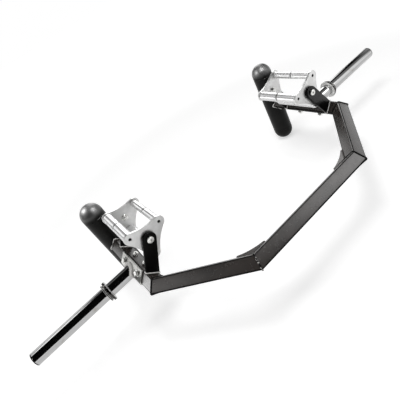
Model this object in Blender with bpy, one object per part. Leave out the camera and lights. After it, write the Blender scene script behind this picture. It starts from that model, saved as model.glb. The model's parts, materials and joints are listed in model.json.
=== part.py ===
"""Open-ended trap bar with two rotating multi-grip heads.

The frame is a C of five square tubes standing on edge, open at the front (+Y).
A weight sleeve is bolted to each arm, and each arm ends in a round-ended stand
that props the bar up. Between two uprights on each arm turns a head: two
three-lobed plates joined by a thin, a medium and a thick grip.

Frame: +X along the sleeves to the right, +Y towards the open end, +Z up.
Everything is placed from the sleeve axis, and the empty that carries it all is
moved in Y so that the origin is the centre of the whole bar's bounding box.
"""
import math

import bmesh
import bpy
from mathutils import Matrix, Vector

# Driving dimensions in metres

CLEARANCE = 0.0003              # air left between two pieces that touch

TUBE_SIZE = 0.050               # square frame tube across its flats
TUBE_WALL = 0.004
TUBE_EDGE_RADIUS = 0.005
ARM_SPACING = 1.008             # between the centre lines of the two arms
FRONT_BEND_Y = -0.158           # where an arm meets its diagonal
BACK_BEND_Y = -0.403            # where a diagonal meets the back tube
BACK_TUBE_LENGTH = 0.494        # between the two back bends
GUSSET_LEG = 0.055              # along each of the two tubes it stiffens
GUSSET_END = 0.006              # height of its square end above the tube's ridge
GUSSET_WAIST = 0.020            # from the tubes' inner corner to the middle of its hollow edge
GUSSET_THICKNESS = 0.006

OVERALL_LENGTH = 1.900
SLEEVE_DIAMETER = 0.050
SLEEVE_WALL = 0.005
COLLAR_REACH = 0.146            # from the arm's centre line to the collar's loading face
SLEEVE_CHAMFER = 0.0015
COLLAR_DIAMETER = 0.078
COLLAR_WIDTH = 0.018
COLLAR_RING_DIAMETER = 0.068    # the smaller ring on the loading side
COLLAR_RING_WIDTH = 0.005
COLLAR_GROOVE_WIDTH = 0.004
COLLAR_GROOVE_DEPTH = 0.003
PLUG_RIM_WIDTH = 0.003
PLUG_DEPTH = 0.020
PLUG_WALL = 0.003

SADDLE_LENGTH = 0.172
SADDLE_SETBACK = 0.010          # its middle lies this far behind the sleeve
SADDLE_THICKNESS = 0.006
SADDLE_LEG = 0.047              # down each of the arm's two outer faces
UPPER_BOLT_OFFSET = 0.056       # bolts through the upper face, fore and aft of its middle
LOWER_BOLT_OFFSET = 0.041       # bolts through the lower face, clear of the upper ones
SADDLE_BOLT_DIAMETER = 0.010
SADDLE_BOLT_FLATS = 0.018       # hexagon across its flats
SADDLE_BOLT_HEAD = 0.007
SADDLE_BOLT_FLANGE_DIAMETER = 0.025
SADDLE_BOLT_FLANGE_THICKNESS = 0.002
SADDLE_NUT_HEIGHT = 0.010
SADDLE_BOLT_TAIL = 0.003        # bolt end standing out of its nut

STAND_Y = 0.238
STAND_DIAMETER = 0.0924
STAND_HEIGHT = 0.4124
STAND_WALL = 0.003
STAND_CAP_SKIRT = 0.012         # straight part of a cap, below its dome
STAND_CAP_WALL = 0.005
STAND_CAP_SPIGOT = 0.016        # reach of a cap inside the stand tube
DOME_FLAT_RADIUS = 0.004        # flat at the very top of a dome

PIVOT_SPACING = 0.849           # between the two head axes
PIVOT_HEIGHT = 0.129            # above the sleeve axis
GRIP_LENGTH = 0.200             # between the two plates of a head
LOBE_RADIUS = 0.064             # from the head's axis to each grip's axis
LOBE_TIP_RADIUS = 0.021
PLATE_WAIST_RADIUS = 0.046      # from the head's axis to the hollow between two lobes
PLATE_THICKNESS = 0.008
PLATE_CHAMFER = 0.0008
THIN_GRIP_DIAMETER = 0.028
MEDIUM_GRIP_DIAMETER = 0.038
THICK_GRIP_DIAMETER = 0.050
GRIP_WALL = 0.004
GRIP_END_WALL = 0.016
GRIP_RING_WIDTH = 0.004         # plain groove at the middle of each grip
GRIP_RING_DEPTH = 0.0008
SCREW_DIAMETER = 0.007
SCREW_HEAD_DIAMETER = 0.0105
SCREW_HEAD_HEIGHT = 0.005
SCREW_RECESS = 0.0015           # how far a screw's head lies below the plate's face
LEFT_HEAD_TURN = math.radians(18.8)
RIGHT_HEAD_TURN = math.radians(50.2)

UPRIGHT_WIDTH = 0.050
UPRIGHT_THICKNESS = 0.010
UPRIGHT_EDGE_RADIUS = 0.002
PIVOT_BOLT_DIAMETER = 0.012
PIVOT_HEAD_DIAMETER = 0.024
PIVOT_HEAD_HEIGHT = 0.0065
PIVOT_HEAD_ROUNDING = 0.002
PIVOT_SOCKET_DIAMETER = 0.008
PIVOT_SOCKET_DEPTH = 0.004
BUSH_WALL = 0.002
BUSH_FLANGE_DIAMETER = 0.026
BUSH_FLANGE_THICKNESS = 0.0015
PIVOT_NUT_FLATS = 0.019
PIVOT_NUT_FLANGE_DIAMETER = 0.025
PIVOT_NUT_FLANGE_THICKNESS = 0.0025
PIVOT_NUT_HEIGHT = 0.010
PIVOT_BOLT_TAIL = 0.002

LARGE_ROUND_STEPS = 24          # sides of sleeves, stands and collars
GRIP_STEPS = 16
SMALL_ROUND_STEPS = 12          # sides of bolts, nuts and bushes, a multiple of six
HOLE_STEPS = 12
DOME_STEPS = 6
CAP_HOLLOW_STEPS = 1
GUSSET_EDGE_STEPS = 4
TUBE_EDGE_STEPS = 2
LOBE_TIP_STEPS = 7
WAIST_STEPS = 4
UPRIGHT_TOP_STEPS = 8

# Sizes that follow from the driving dimensions

SIDES = {"left": -1, "right": 1}
ENDS = {"rear": -1, "front": 1}
HEAD_TURNS = {"left": LEFT_HEAD_TURN, "right": RIGHT_HEAD_TURN}
GRIP_DIAMETERS = {
    "thin": THIN_GRIP_DIAMETER,
    "medium": MEDIUM_GRIP_DIAMETER,
    "thick": THICK_GRIP_DIAMETER,
}
LOBE_COUNT = len(GRIP_DIAMETERS)
LOBE_STEP = 2 * math.pi / LOBE_COUNT

ARM_X = ARM_SPACING / 2
FRONT_BEND_X = ARM_X
BACK_BEND_X = BACK_TUBE_LENGTH / 2
TUBE_RIDGE_REACH = TUBE_SIZE / math.sqrt(2) - TUBE_EDGE_RADIUS * (math.sqrt(2) - 1)
SLEEVE_RADIUS = SLEEVE_DIAMETER / 2
STAND_RADIUS = STAND_DIAMETER / 2
DOME_CENTRE_Z = STAND_HEIGHT / 2 - STAND_RADIUS
STAND_SEAM_Z = DOME_CENTRE_Z - STAND_CAP_SKIRT
PIVOT_X = PIVOT_SPACING / 2
PLATE_INNER_Y = GRIP_LENGTH / 2
PLATE_OUTER_Y = PLATE_INNER_Y + PLATE_THICKNESS
UPRIGHT_INNER_Y = PLATE_OUTER_Y + BUSH_FLANGE_THICKNESS + 2 * CLEARANCE
UPRIGHT_OUTER_Y = UPRIGHT_INNER_Y + UPRIGHT_THICKNESS
PIVOT_NUT_OUTER_Y = PLATE_INNER_Y - CLEARANCE
BUSH_BORE = (PIVOT_BOLT_DIAMETER / 2 + CLEARANCE) / math.cos(math.pi / SMALL_ROUND_STEPS)
SLANT = math.sqrt(0.5)          # the tube's faces lie at 45 degrees
BAR_BACK_Y = BACK_BEND_Y - TUBE_RIDGE_REACH
BAR_FRONT_Y = STAND_Y + STAND_RADIUS
FRAME_SHIFT_Y = -(BAR_BACK_Y + BAR_FRONT_Y) / 2


def clear_scene():
    """Remove every object, so that the bar is the only thing in the file."""
    for old in list(bpy.data.objects):
        bpy.data.objects.remove(old, do_unlink=True)


def principled(name, colour, roughness, metallic):
    """Return a Principled material with one colour."""
    material = bpy.data.materials.new(name)
    material.use_nodes = True
    shader = material.node_tree.nodes["Principled BSDF"]
    shader.inputs["Base Color"].default_value = (*colour, 1.0)
    shader.inputs["Roughness"].default_value = roughness
    shader.inputs["Metallic"].default_value = metallic
    material.diffuse_color = (*colour, 1.0)
    return material


def add_object(name, work, material, parent):
    """Turn a bmesh into a named object with outward faces, under its parent."""
    bmesh.ops.recalc_face_normals(work, faces=work.faces)
    mesh = bpy.data.meshes.new(name)
    work.to_mesh(mesh)
    work.free()
    mesh.shade_smooth()
    mesh.set_sharp_from_angle(angle=math.radians(35))
    piece = bpy.data.objects.new(name, mesh)
    bpy.context.scene.collection.objects.link(piece)
    piece.parent = parent
    if material is not None:
        mesh.materials.append(material)
    return piece


def add_empty(name, location, turn, parent):
    """Return an empty that carries other pieces, turned about Y."""
    empty = bpy.data.objects.new(name, None)
    bpy.context.scene.collection.objects.link(empty)
    empty.parent = parent
    empty.location = location
    empty.rotation_euler = (0.0, turn, 0.0)
    return empty


def cut_away(piece, name, work):
    """Subtract a closed bmesh from a piece with an exact Boolean."""
    cutter = add_object(name, work, None, piece.parent)
    cutter.hide_render = True
    cutter.display_type = "WIRE"
    modifier = piece.modifiers.new(name, "BOOLEAN")
    modifier.operation = "DIFFERENCE"
    modifier.solver = "EXACT"
    modifier.object = cutter


def round_edges(piece, width, segments):
    """Round the sharp edges of a piece."""
    modifier = piece.modifiers.new("rounded_edges", "BEVEL")
    modifier.width = width
    modifier.segments = segments
    modifier.limit_method = "ANGLE"
    modifier.angle_limit = math.radians(40)


def bridge(work, first, second):
    """Join two rings of vertices with four-sided faces."""
    count = len(first)
    for index in range(count):
        after = (index + 1) % count
        work.faces.new((first[index], first[after], second[after], second[index]))


def placement(axis, origin):
    """Return the matrix that takes local Z to an axis and local zero to an origin."""
    turn = Vector(axis).to_track_quat("Z", "Y").to_matrix().to_4x4()
    return Matrix.Translation(origin) @ turn


def ring_radius(radius, angle, flats):
    """Return the radius of a ring at an angle: round, or a polygon with that many flats."""
    if not flats:
        return radius
    half = math.pi / flats
    return radius / math.cos((angle + half) % (2 * half) - half)


def turned(work, rings, steps, matrix, bored=False):
    """Add a turned body to a bmesh from rings of (radius, height, flats).

    A solid body is capped by its first and last ring. A bored one has its last
    ring joined to its first, so the rings run round the wall's section.
    """
    loops = []
    for radius, height, flats in rings:
        loop = []
        for index in range(steps):
            angle = 2 * math.pi * index / steps
            reach = ring_radius(radius, angle, flats)
            point = Vector((reach * math.cos(angle), reach * math.sin(angle), height))
            loop.append(work.verts.new(matrix @ point))
        loops.append(loop)
    for first, second in zip(loops, loops[1:]):
        bridge(work, first, second)
    if bored:
        bridge(work, loops[-1], loops[0])
    else:
        work.faces.new(loops[0])
        work.faces.new(loops[-1])


def around(radius, steps):
    """Return the corner radius of a hole whose flats stay clear of a round piece."""
    return (radius + CLEARANCE) / math.cos(math.pi / steps)


def round_rings(profile):
    """Turn (radius, height) pairs into round rings."""
    return [(radius, height, 0) for radius, height in profile]


def extruded(work, outline, low, high, matrix):
    """Add the prism of an XY outline between two heights."""
    floor = [work.verts.new(matrix @ Vector((x, y, low))) for x, y in outline]
    roof = [work.verts.new(matrix @ Vector((x, y, high))) for x, y in outline]
    bridge(work, floor, roof)
    work.faces.new(floor)
    work.faces.new(roof)


def arc(centre, radius, start, end, steps):
    """Return points along an arc, both ends included."""
    points = []
    for index in range(steps + 1):
        angle = start + (end - start) * index / steps
        points.append((centre[0] + radius * math.cos(angle), centre[1] + radius * math.sin(angle)))
    return points


def arc_through(start, middle, end, steps):
    """Return points along the arc from start to end that passes through a point halfway."""
    chord_middle = (start + end) / 2
    rise = middle - chord_middle
    half_chord = (end - start).length / 2
    radius = (half_chord ** 2 + rise.length ** 2) / (2 * rise.length)
    centre = middle - rise.normalized() * radius
    first = math.atan2(start.y - centre.y, start.x - centre.x)
    last = math.atan2(end.y - centre.y, end.x - centre.x)
    sweep = math.remainder(last - first, 2 * math.pi)
    return arc(centre, radius, first, first + sweep, steps)


def plane_xz(origin):
    """Return the matrix that stands an XY outline up in XZ, its height along -Y."""
    return Matrix.Translation(origin) @ Matrix.Rotation(math.pi / 2, 4, "X")


# Frame tubes

def diamond_outline(size, edge_radius):
    """Return the outline of a square on its edge, with rounded corners."""
    reach = (size / 2 - edge_radius) * math.sqrt(2)
    points = []
    for corner in range(4):
        facing = corner * math.pi / 2
        centre = (reach * math.cos(facing), reach * math.sin(facing))
        points += arc(centre, edge_radius, facing - math.pi / 4, facing + math.pi / 4, TUBE_EDGE_STEPS)
    return points


def mitred_loop(work, outline, start, along, plane_point, plane_normal):
    """Slide an outline along a tube's direction until each point meets a plane."""
    side = along.cross(Vector((0, 0, 1)))
    loop = []
    for across, height in outline:
        point = start + side * across + Vector((0, 0, height))
        distance = (plane_point - point).dot(plane_normal) / along.dot(plane_normal)
        loop.append(work.verts.new(point + along * distance))
    return loop


def frame_tube(start, end, start_normal, end_normal):
    """Return a hollow square tube on edge between two cutting planes."""
    along = (end - start).normalized()
    start_plane = start + along * CLEARANCE / 2
    end_plane = end - along * CLEARANCE / 2
    outer = diamond_outline(TUBE_SIZE, TUBE_EDGE_RADIUS)
    inner = diamond_outline(TUBE_SIZE - 2 * TUBE_WALL, TUBE_EDGE_RADIUS - TUBE_WALL)
    work = bmesh.new()
    outer_start = mitred_loop(work, outer, start, along, start_plane, start_normal)
    outer_end = mitred_loop(work, outer, start, along, end_plane, end_normal)
    inner_end = mitred_loop(work, inner, start, along, end_plane, end_normal)
    inner_start = mitred_loop(work, inner, start, along, start_plane, start_normal)
    bridge(work, outer_start, outer_end)
    bridge(work, outer_end, inner_end)
    bridge(work, inner_end, inner_start)
    bridge(work, inner_start, outer_start)
    return work


def mitre_normal(before, corner, after):
    """Return the normal of the plane that halves the bend at a corner."""
    return ((after - corner).normalized() - (before - corner).normalized()).normalized()


def saddle_bolt_axes(side):
    """Yield each saddle bolt's name, its place on the arm's axis and the way its head faces."""
    for end, fore_aft in ENDS.items():
        for level, offset, up in (("upper", UPPER_BOLT_OFFSET, 1), ("lower", LOWER_BOLT_OFFSET, -1)):
            origin = Vector((side * ARM_X, fore_aft * offset - SADDLE_SETBACK, 0))
            facing = Vector((side * SLANT, 0, up * SLANT))
            yield level + "_" + end, origin, facing


def saddle_bolt_holes(side):
    """Return the clearance holes for the saddle bolts, right through the arm and saddle."""
    work = bmesh.new()
    reach = TUBE_SIZE
    radius = around(SADDLE_BOLT_DIAMETER / 2, HOLE_STEPS)
    for _, origin, facing in saddle_bolt_axes(side):
        rings = round_rings([(radius, -reach), (radius, reach)])
        turned(work, rings, HOLE_STEPS, placement(facing, origin))
    return work


def build_frame(material, parent):
    """Make the back tube, the two diagonals and the two arms."""
    points = [
        Vector((-ARM_X, STAND_Y, 0)),
        Vector((-FRONT_BEND_X, FRONT_BEND_Y, 0)),
        Vector((-BACK_BEND_X, BACK_BEND_Y, 0)),
        Vector((BACK_BEND_X, BACK_BEND_Y, 0)),
        Vector((FRONT_BEND_X, FRONT_BEND_Y, 0)),
        Vector((ARM_X, STAND_Y, 0)),
    ]
    names = ["left_arm_tube", "left_diagonal_tube", "back_tube", "right_diagonal_tube", "right_arm_tube"]
    normals = [Vector((0, -1, 0))]
    for before, corner, after in zip(points, points[1:], points[2:]):
        normals.append(mitre_normal(before, corner, after))
    normals.append(Vector((0, 1, 0)))
    tubes = {}
    for index, name in enumerate(names):
        work = frame_tube(points[index], points[index + 1], normals[index], normals[index + 1])
        tubes[name] = add_object(name, work, material, parent)
    for side_name, side in SIDES.items():
        arm = tubes[side_name + "_arm_tube"]
        cut_away(arm, side_name + "_arm_bolt_holes", saddle_bolt_holes(side))
        cope = bmesh.new()
        radius = around(STAND_RADIUS, LARGE_ROUND_STEPS)
        rings = round_rings([(radius, -TUBE_SIZE), (radius, TUBE_SIZE)])
        turned(cope, rings, LARGE_ROUND_STEPS, Matrix.Translation((side * ARM_X, STAND_Y, 0)))
        cut_away(arm, side_name + "_arm_cope", cope)


def build_gusset(side_name, side, material, parent):
    """Make the plate in the corner between a diagonal and the back tube, its open edge hollow."""
    back_bend = Vector((side * BACK_BEND_X, BACK_BEND_Y))
    front_bend = Vector((side * FRONT_BEND_X, FRONT_BEND_Y))
    up_diagonal = (front_bend - back_bend).normalized()
    along_back = Vector((-side, 0))
    bisector = (up_diagonal + along_back).normalized()
    sine = abs(up_diagonal.x * bisector.y - up_diagonal.y * bisector.x)
    corner = back_bend + bisector * (TUBE_RIDGE_REACH + CLEARANCE) / sine
    across_back = Vector((0, 1))
    across_diagonal = (bisector - up_diagonal * bisector.dot(up_diagonal)).normalized()
    diagonal_foot = corner + up_diagonal * GUSSET_LEG
    back_foot = corner + along_back * GUSSET_LEG
    start = diagonal_foot + across_diagonal * GUSSET_END
    middle = corner + bisector * GUSSET_WAIST
    end = back_foot + across_back * GUSSET_END
    work = bmesh.new()
    half = GUSSET_THICKNESS / 2
    outline = [corner, diagonal_foot] + arc_through(start, middle, end, GUSSET_EDGE_STEPS) + [back_foot]
    extruded(work, outline, -half, half, Matrix.Identity(4))
    add_object(side_name + "_corner_gusset", work, material, parent)


# Weight sleeves

def saddle_nose(gap):
    """Return the saddle's outer outline in XZ, set out by a gap: foot, rounded nose, foot."""
    corner_round = TUBE_EDGE_RADIUS + SADDLE_THICKNESS + gap
    outer = TUBE_SIZE / 2 + CLEARANCE + SADDLE_THICKNESS + gap
    round_centre = (outer - corner_round) * math.sqrt(2)
    nose = arc((round_centre, 0), corner_round, -math.pi / 4, math.pi / 4, TUBE_EDGE_STEPS)
    foot = ((outer - SADDLE_LEG + TUBE_SIZE / 2) * SLANT, (outer + SADDLE_LEG - TUBE_SIZE / 2) * SLANT)
    return [(foot[0], -foot[1])] + nose + [foot]


def build_sleeve(side_name, side, material, parent):
    """Make a sleeve tube, notched to sit on its saddle's two faces."""
    outward = Vector((side, 0, 0))
    radius = SLEEVE_RADIUS
    bore = radius - SLEEVE_WALL
    end = OVERALL_LENGTH / 2 - PLUG_RIM_WIDTH - CLEARANCE
    profile = [
        (bore, ARM_X),
        (radius, ARM_X),
        (radius, end - SLEEVE_CHAMFER),
        (radius - SLEEVE_CHAMFER, end),
        (bore, end),
    ]
    work = bmesh.new()
    turned(work, round_rings(profile), LARGE_ROUND_STEPS, placement(outward, (0, 0, 0)), bored=True)
    sleeve = add_object(side_name + "_sleeve", work, material, parent)
    notch = bmesh.new()
    nose = [(side * x, z) for x, z in saddle_nose(CLEARANCE)]
    outline = nose + [(-side * TUBE_SIZE, TUBE_SIZE), (-side * TUBE_SIZE, -TUBE_SIZE)]
    extruded(notch, outline, -SLEEVE_DIAMETER, SLEEVE_DIAMETER, plane_xz((side * ARM_X, 0, 0)))
    cut_away(sleeve, side_name + "_sleeve_notch", notch)


def build_collar(side_name, side, material, parent):
    """Make the collar that stops the plates: a flange, a groove and a smaller ring."""
    outer = ARM_X + COLLAR_REACH
    inner = outer - COLLAR_WIDTH
    ring_start = outer - COLLAR_RING_WIDTH
    groove_start = ring_start - COLLAR_GROOVE_WIDTH
    bore = SLEEVE_RADIUS + CLEARANCE
    flange = COLLAR_DIAMETER / 2
    ring = COLLAR_RING_DIAMETER / 2
    groove = ring - COLLAR_GROOVE_DEPTH
    profile = [
        (bore, inner),
        (flange - SLEEVE_CHAMFER, inner),
        (flange, inner + SLEEVE_CHAMFER),
        (flange, groove_start - SLEEVE_CHAMFER),
        (flange - SLEEVE_CHAMFER, groove_start),
        (groove, groove_start),
        (groove, ring_start),
        (ring, ring_start),
        (ring, outer),
        (bore, outer),
    ]
    work = bmesh.new()
    axis = placement((side, 0, 0), (0, 0, 0))
    turned(work, round_rings(profile), LARGE_ROUND_STEPS, axis, bored=True)
    add_object(side_name + "_collar", work, material, parent)


def build_sleeve_plug(side_name, side, material, parent):
    """Make the cup-shaped plug that closes a sleeve's end."""
    end = OVERALL_LENGTH / 2
    rim_back = end - PLUG_RIM_WIDTH
    spigot = SLEEVE_RADIUS - SLEEVE_WALL - CLEARANCE
    profile = [
        (spigot - PLUG_WALL, rim_back),
        (spigot - PLUG_WALL, end - PLUG_DEPTH),
        (spigot, end - PLUG_DEPTH),
        (spigot, rim_back),
        (SLEEVE_RADIUS, rim_back),
        (SLEEVE_RADIUS - SLEEVE_CHAMFER, end),
    ]
    work = bmesh.new()
    turned(work, round_rings(profile), LARGE_ROUND_STEPS, placement((side, 0, 0), (0, 0, 0)))
    add_object(side_name + "_sleeve_plug", work, material, parent)


def build_saddle(side_name, side, material, parent):
    """Make the bent plate that carries a sleeve on the arm's two outer faces."""
    inner = TUBE_SIZE / 2 + CLEARANCE
    inner_foot = ((inner - SADDLE_LEG + TUBE_SIZE / 2) * SLANT, (inner + SADDLE_LEG - TUBE_SIZE / 2) * SLANT)
    inside = [inner_foot, (inner * math.sqrt(2), 0), (inner_foot[0], -inner_foot[1])]
    outline = [(side * x, z) for x, z in saddle_nose(0) + inside]
    work = bmesh.new()
    half = SADDLE_LENGTH / 2
    extruded(work, outline, -half, half, plane_xz((side * ARM_X, -SADDLE_SETBACK, 0)))
    saddle = add_object(side_name + "_saddle", work, material, parent)
    cut_away(saddle, side_name + "_saddle_bolt_holes", saddle_bolt_holes(side))


def build_saddle_bolts(side_name, side, material, parent):
    """Make the four flanged bolts that clamp a saddle to its arm, each one body with its nut."""
    head_seat = TUBE_SIZE / 2 + SADDLE_THICKNESS + 2 * CLEARANCE
    nut_seat = -TUBE_SIZE / 2 - CLEARANCE
    nut_end = nut_seat - SADDLE_NUT_HEIGHT
    flange_top = head_seat + SADDLE_BOLT_FLANGE_THICKNESS
    shank = SADDLE_BOLT_DIAMETER / 2
    flange = SADDLE_BOLT_FLANGE_DIAMETER / 2
    flat = SADDLE_BOLT_FLATS / 2
    rings = [
        (shank, nut_end - SADDLE_BOLT_TAIL, 0),
        (shank, nut_end, 0),
        (flat, nut_end, 6),
        (flat, nut_seat, 6),
        (shank, nut_seat, 0),
        (shank, head_seat, 0),
        (flange, head_seat, 0),
        (flange, flange_top, 0),
        (flat, flange_top, 6),
        (flat, flange_top + SADDLE_BOLT_HEAD, 6),
    ]
    for place, origin, facing in saddle_bolt_axes(side):
        work = bmesh.new()
        turned(work, rings, SMALL_ROUND_STEPS, placement(facing, origin))
        add_object(side_name + "_saddle_bolt_" + place, work, material, parent)


# Stands

def build_stand(side_name, side, tube_material, cap_material, parent):
    """Make a stand: a tube with a domed cap in each end."""
    outer = STAND_RADIUS
    inner = outer - STAND_WALL
    seam = STAND_SEAM_Z - CLEARANCE / 2
    axis = Matrix.Translation((side * ARM_X, STAND_Y, 0))
    work = bmesh.new()
    profile = [(inner, -seam), (outer, -seam), (outer, seam), (inner, seam)]
    turned(work, round_rings(profile), LARGE_ROUND_STEPS, axis, bored=True)
    add_object(side_name + "_stand_tube", work, tube_material, parent)
    for level, up in (("upper", 1), ("lower", -1)):
        cap = bmesh.new()
        turned(cap, round_rings(cap_profile(up)), LARGE_ROUND_STEPS, axis)
        add_object(side_name + "_stand_" + level + "_cap", cap, cap_material, parent)


def dome_rings(radius, up, steps):
    """Return the rings of a dome from its foot to a small flat at its top."""
    rings = []
    for index in range(steps + 1):
        angle = math.pi / 2 * index / (steps + 0.5)
        rings.append((radius * math.cos(angle), up * (DOME_CENTRE_Z + radius * math.sin(angle))))
    rings.append((DOME_FLAT_RADIUS, up * (DOME_CENTRE_Z + radius)))
    return rings


def cap_profile(up):
    """Return a cap's wall: up the hollow inside, down the spigot, and over the dome."""
    spigot = STAND_RADIUS - STAND_WALL - CLEARANCE
    inside = spigot - STAND_CAP_WALL
    seam = STAND_SEAM_Z + CLEARANCE / 2
    spigot_end = STAND_SEAM_Z - STAND_CAP_SPIGOT
    hollow = list(reversed(dome_rings(inside, up, CAP_HOLLOW_STEPS)))
    wall = [
        (inside, up * spigot_end),
        (spigot, up * spigot_end),
        (spigot, up * seam),
        (STAND_RADIUS, up * seam),
    ]
    return hollow + wall + dome_rings(STAND_RADIUS, up, DOME_STEPS)


# Uprights

def build_upright(side_name, side, level, facing, material, parent):
    """Make the strap that carries one end of a head, round at its top.

    It stands on the middle of the arm's inner upper face, where it is welded,
    and leans in to the head's axis. facing is -1 at the rear and 1 at the front.
    """
    pivot = Vector((side * PIVOT_X, PIVOT_HEIGHT))
    arm = Vector((side * ARM_X, 0))
    face_normal = Vector((-side * SLANT, SLANT))
    foot = arm + face_normal * (TUBE_SIZE / 2 + CLEARANCE)
    down = (foot - pivot).normalized()
    across = Vector((-down.y, down.x))
    half = UPRIGHT_WIDTH / 2
    start = math.atan2(across.y, across.x)
    outline = [Vector(point) for point in arc(pivot, half, start, start + math.pi, UPRIGHT_TOP_STEPS)]
    for sign in (-1, 1):
        edge = pivot + across * half * sign
        reach = (foot - edge).dot(face_normal) / down.dot(face_normal)
        outline.append(edge + down * reach)
    work = bmesh.new()
    low, high = sorted((-facing * UPRIGHT_INNER_Y, -facing * UPRIGHT_OUTER_Y))
    extruded(work, outline, low, high, plane_xz((0, 0, 0)))
    name = side_name + "_" + level + "_upright"
    upright = add_object(name, work, material, parent)
    round_edges(upright, UPRIGHT_EDGE_RADIUS, 1)
    hole = bmesh.new()
    radius = around(PIVOT_BOLT_DIAMETER / 2, HOLE_STEPS)
    middle = facing * (UPRIGHT_INNER_Y + UPRIGHT_OUTER_Y) / 2
    rings = round_rings([(radius, -UPRIGHT_THICKNESS), (radius, UPRIGHT_THICKNESS)])
    turned(hole, rings, HOLE_STEPS, placement((0, 1, 0), (pivot.x, middle, pivot.y)))
    cut_away(upright, name + "_bolt_hole", hole)


# Rotating heads

def lobe_angle(index):
    """Return a lobe's direction from +X towards +Z, before the head is turned."""
    return index * LOBE_STEP


def star_outline():
    """Return the plate's outline: round lobe tips joined by hollow arcs that touch them.

    A hollow's centre lies halfway between two lobes, and its radius is the one
    that touches both tips and comes as near to the head's axis as the waist.
    """
    tip = LOBE_TIP_RADIUS
    lobe = LOBE_RADIUS
    waist = PLATE_WAIST_RADIUS
    half_step = LOBE_STEP / 2
    spread = 2 * lobe * math.cos(half_step)
    hollow = (waist ** 2 + lobe ** 2 - waist * spread - tip ** 2) / (2 * tip + spread - 2 * waist)
    centre_reach = waist + hollow
    height = centre_reach * math.sin(half_step)
    tip_turn = math.atan2(height, centre_reach * math.cos(half_step) - lobe)
    from_hollow = (lobe * math.sin(half_step), centre_reach - lobe * math.cos(half_step))
    half_sweep = math.atan2(*from_hollow)
    points = []
    for index in range(LOBE_COUNT):
        facing = lobe_angle(index)
        tip_centre = (lobe * math.cos(facing), lobe * math.sin(facing))
        points += arc(tip_centre, tip, facing - tip_turn, facing + tip_turn, LOBE_TIP_STEPS)
        between = facing + half_step
        hollow_centre = (centre_reach * math.cos(between), centre_reach * math.sin(between))
        back = between + math.pi
        points += arc(hollow_centre, hollow, back + half_sweep, back - half_sweep, WAIST_STEPS)[1:-1]
    return points


def lobe_place(index, along):
    """Return a grip's axis point in its head's own frame."""
    angle = lobe_angle(index)
    return Vector((LOBE_RADIUS * math.cos(angle), along, LOBE_RADIUS * math.sin(angle)))


def build_star_plate(name, facing, material, parent):
    """Make one plate of a head, with a bore for its bush and stepped screw holes."""
    work = bmesh.new()
    low, high = sorted((-facing * PLATE_INNER_Y, -facing * PLATE_OUTER_Y))
    extruded(work, star_outline(), low, high, plane_xz((0, 0, 0)))
    plate = add_object(name, work, material, parent)
    round_edges(plate, PLATE_CHAMFER, 1)
    holes = bmesh.new()
    outward = (0, facing, 0)
    bush = around(BUSH_BORE + BUSH_WALL, HOLE_STEPS)
    through = PLATE_INNER_Y - PLATE_THICKNESS
    past = PLATE_OUTER_Y + PLATE_THICKNESS
    rings = round_rings([(bush, through), (bush, past)])
    turned(holes, rings, HOLE_STEPS, placement(outward, (0, 0, 0)))
    shank = SCREW_DIAMETER / 2 + CLEARANCE
    head = SCREW_HEAD_DIAMETER / 2 + CLEARANCE
    step = PLATE_OUTER_Y - SCREW_RECESS - SCREW_HEAD_HEIGHT - CLEARANCE
    for index in range(LOBE_COUNT):
        rings = round_rings([(shank, through), (shank, step), (head, step), (head, past)])
        turned(holes, rings, HOLE_STEPS, placement(outward, lobe_place(index, 0)))
    cut_away(plate, name + "_holes", holes)


def grip_profile(diameter):
    """Return a grip's wall section: outside with its middle groove, then the hollow inside."""
    outer = diameter / 2
    groove = outer - GRIP_RING_DEPTH
    bore = SCREW_DIAMETER / 2 + CLEARANCE
    inner = max(outer - GRIP_WALL, bore)
    end = GRIP_LENGTH / 2 - CLEARANCE
    half_ring = GRIP_RING_WIDTH / 2
    hollow_end = end - GRIP_END_WALL
    half = [
        (groove, half_ring),
        (outer, half_ring + GRIP_RING_DEPTH),
        (outer, end),
        (bore, end),
        (bore, hollow_end),
        (inner, hollow_end),
    ]
    mirrored = [(radius, -height) for radius, height in reversed(half)]
    return half + mirrored


def build_grips(side_name, material, parent):
    """Make the thin, medium and thick grip of a head, each on its own lobe."""
    for index, (thickness, diameter) in enumerate(GRIP_DIAMETERS.items()):
        work = bmesh.new()
        matrix = placement((0, 1, 0), lobe_place(index, 0))
        turned(work, round_rings(grip_profile(diameter)), GRIP_STEPS, matrix, bored=True)
        add_object(side_name + "_" + thickness + "_grip", work, material, parent)


def build_bush(side_name, level, facing, material, parent):
    """Make the flanged bush pressed into a plate, which turns on the pivot bolt."""
    bore = BUSH_BORE
    outer = bore + BUSH_WALL
    flange = BUSH_FLANGE_DIAMETER / 2
    flange_start = PLATE_OUTER_Y + CLEARANCE
    flange_end = flange_start + BUSH_FLANGE_THICKNESS
    profile = [
        (bore, PLATE_INNER_Y),
        (outer, PLATE_INNER_Y),
        (outer, flange_start),
        (flange, flange_start),
        (flange, flange_end),
        (bore, flange_end),
    ]
    work = bmesh.new()
    matrix = placement((0, facing, 0), (0, 0, 0))
    turned(work, round_rings(profile), SMALL_ROUND_STEPS, matrix, bored=True)
    add_object(side_name + "_" + level + "_pivot_bush", work, material, parent)


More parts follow.
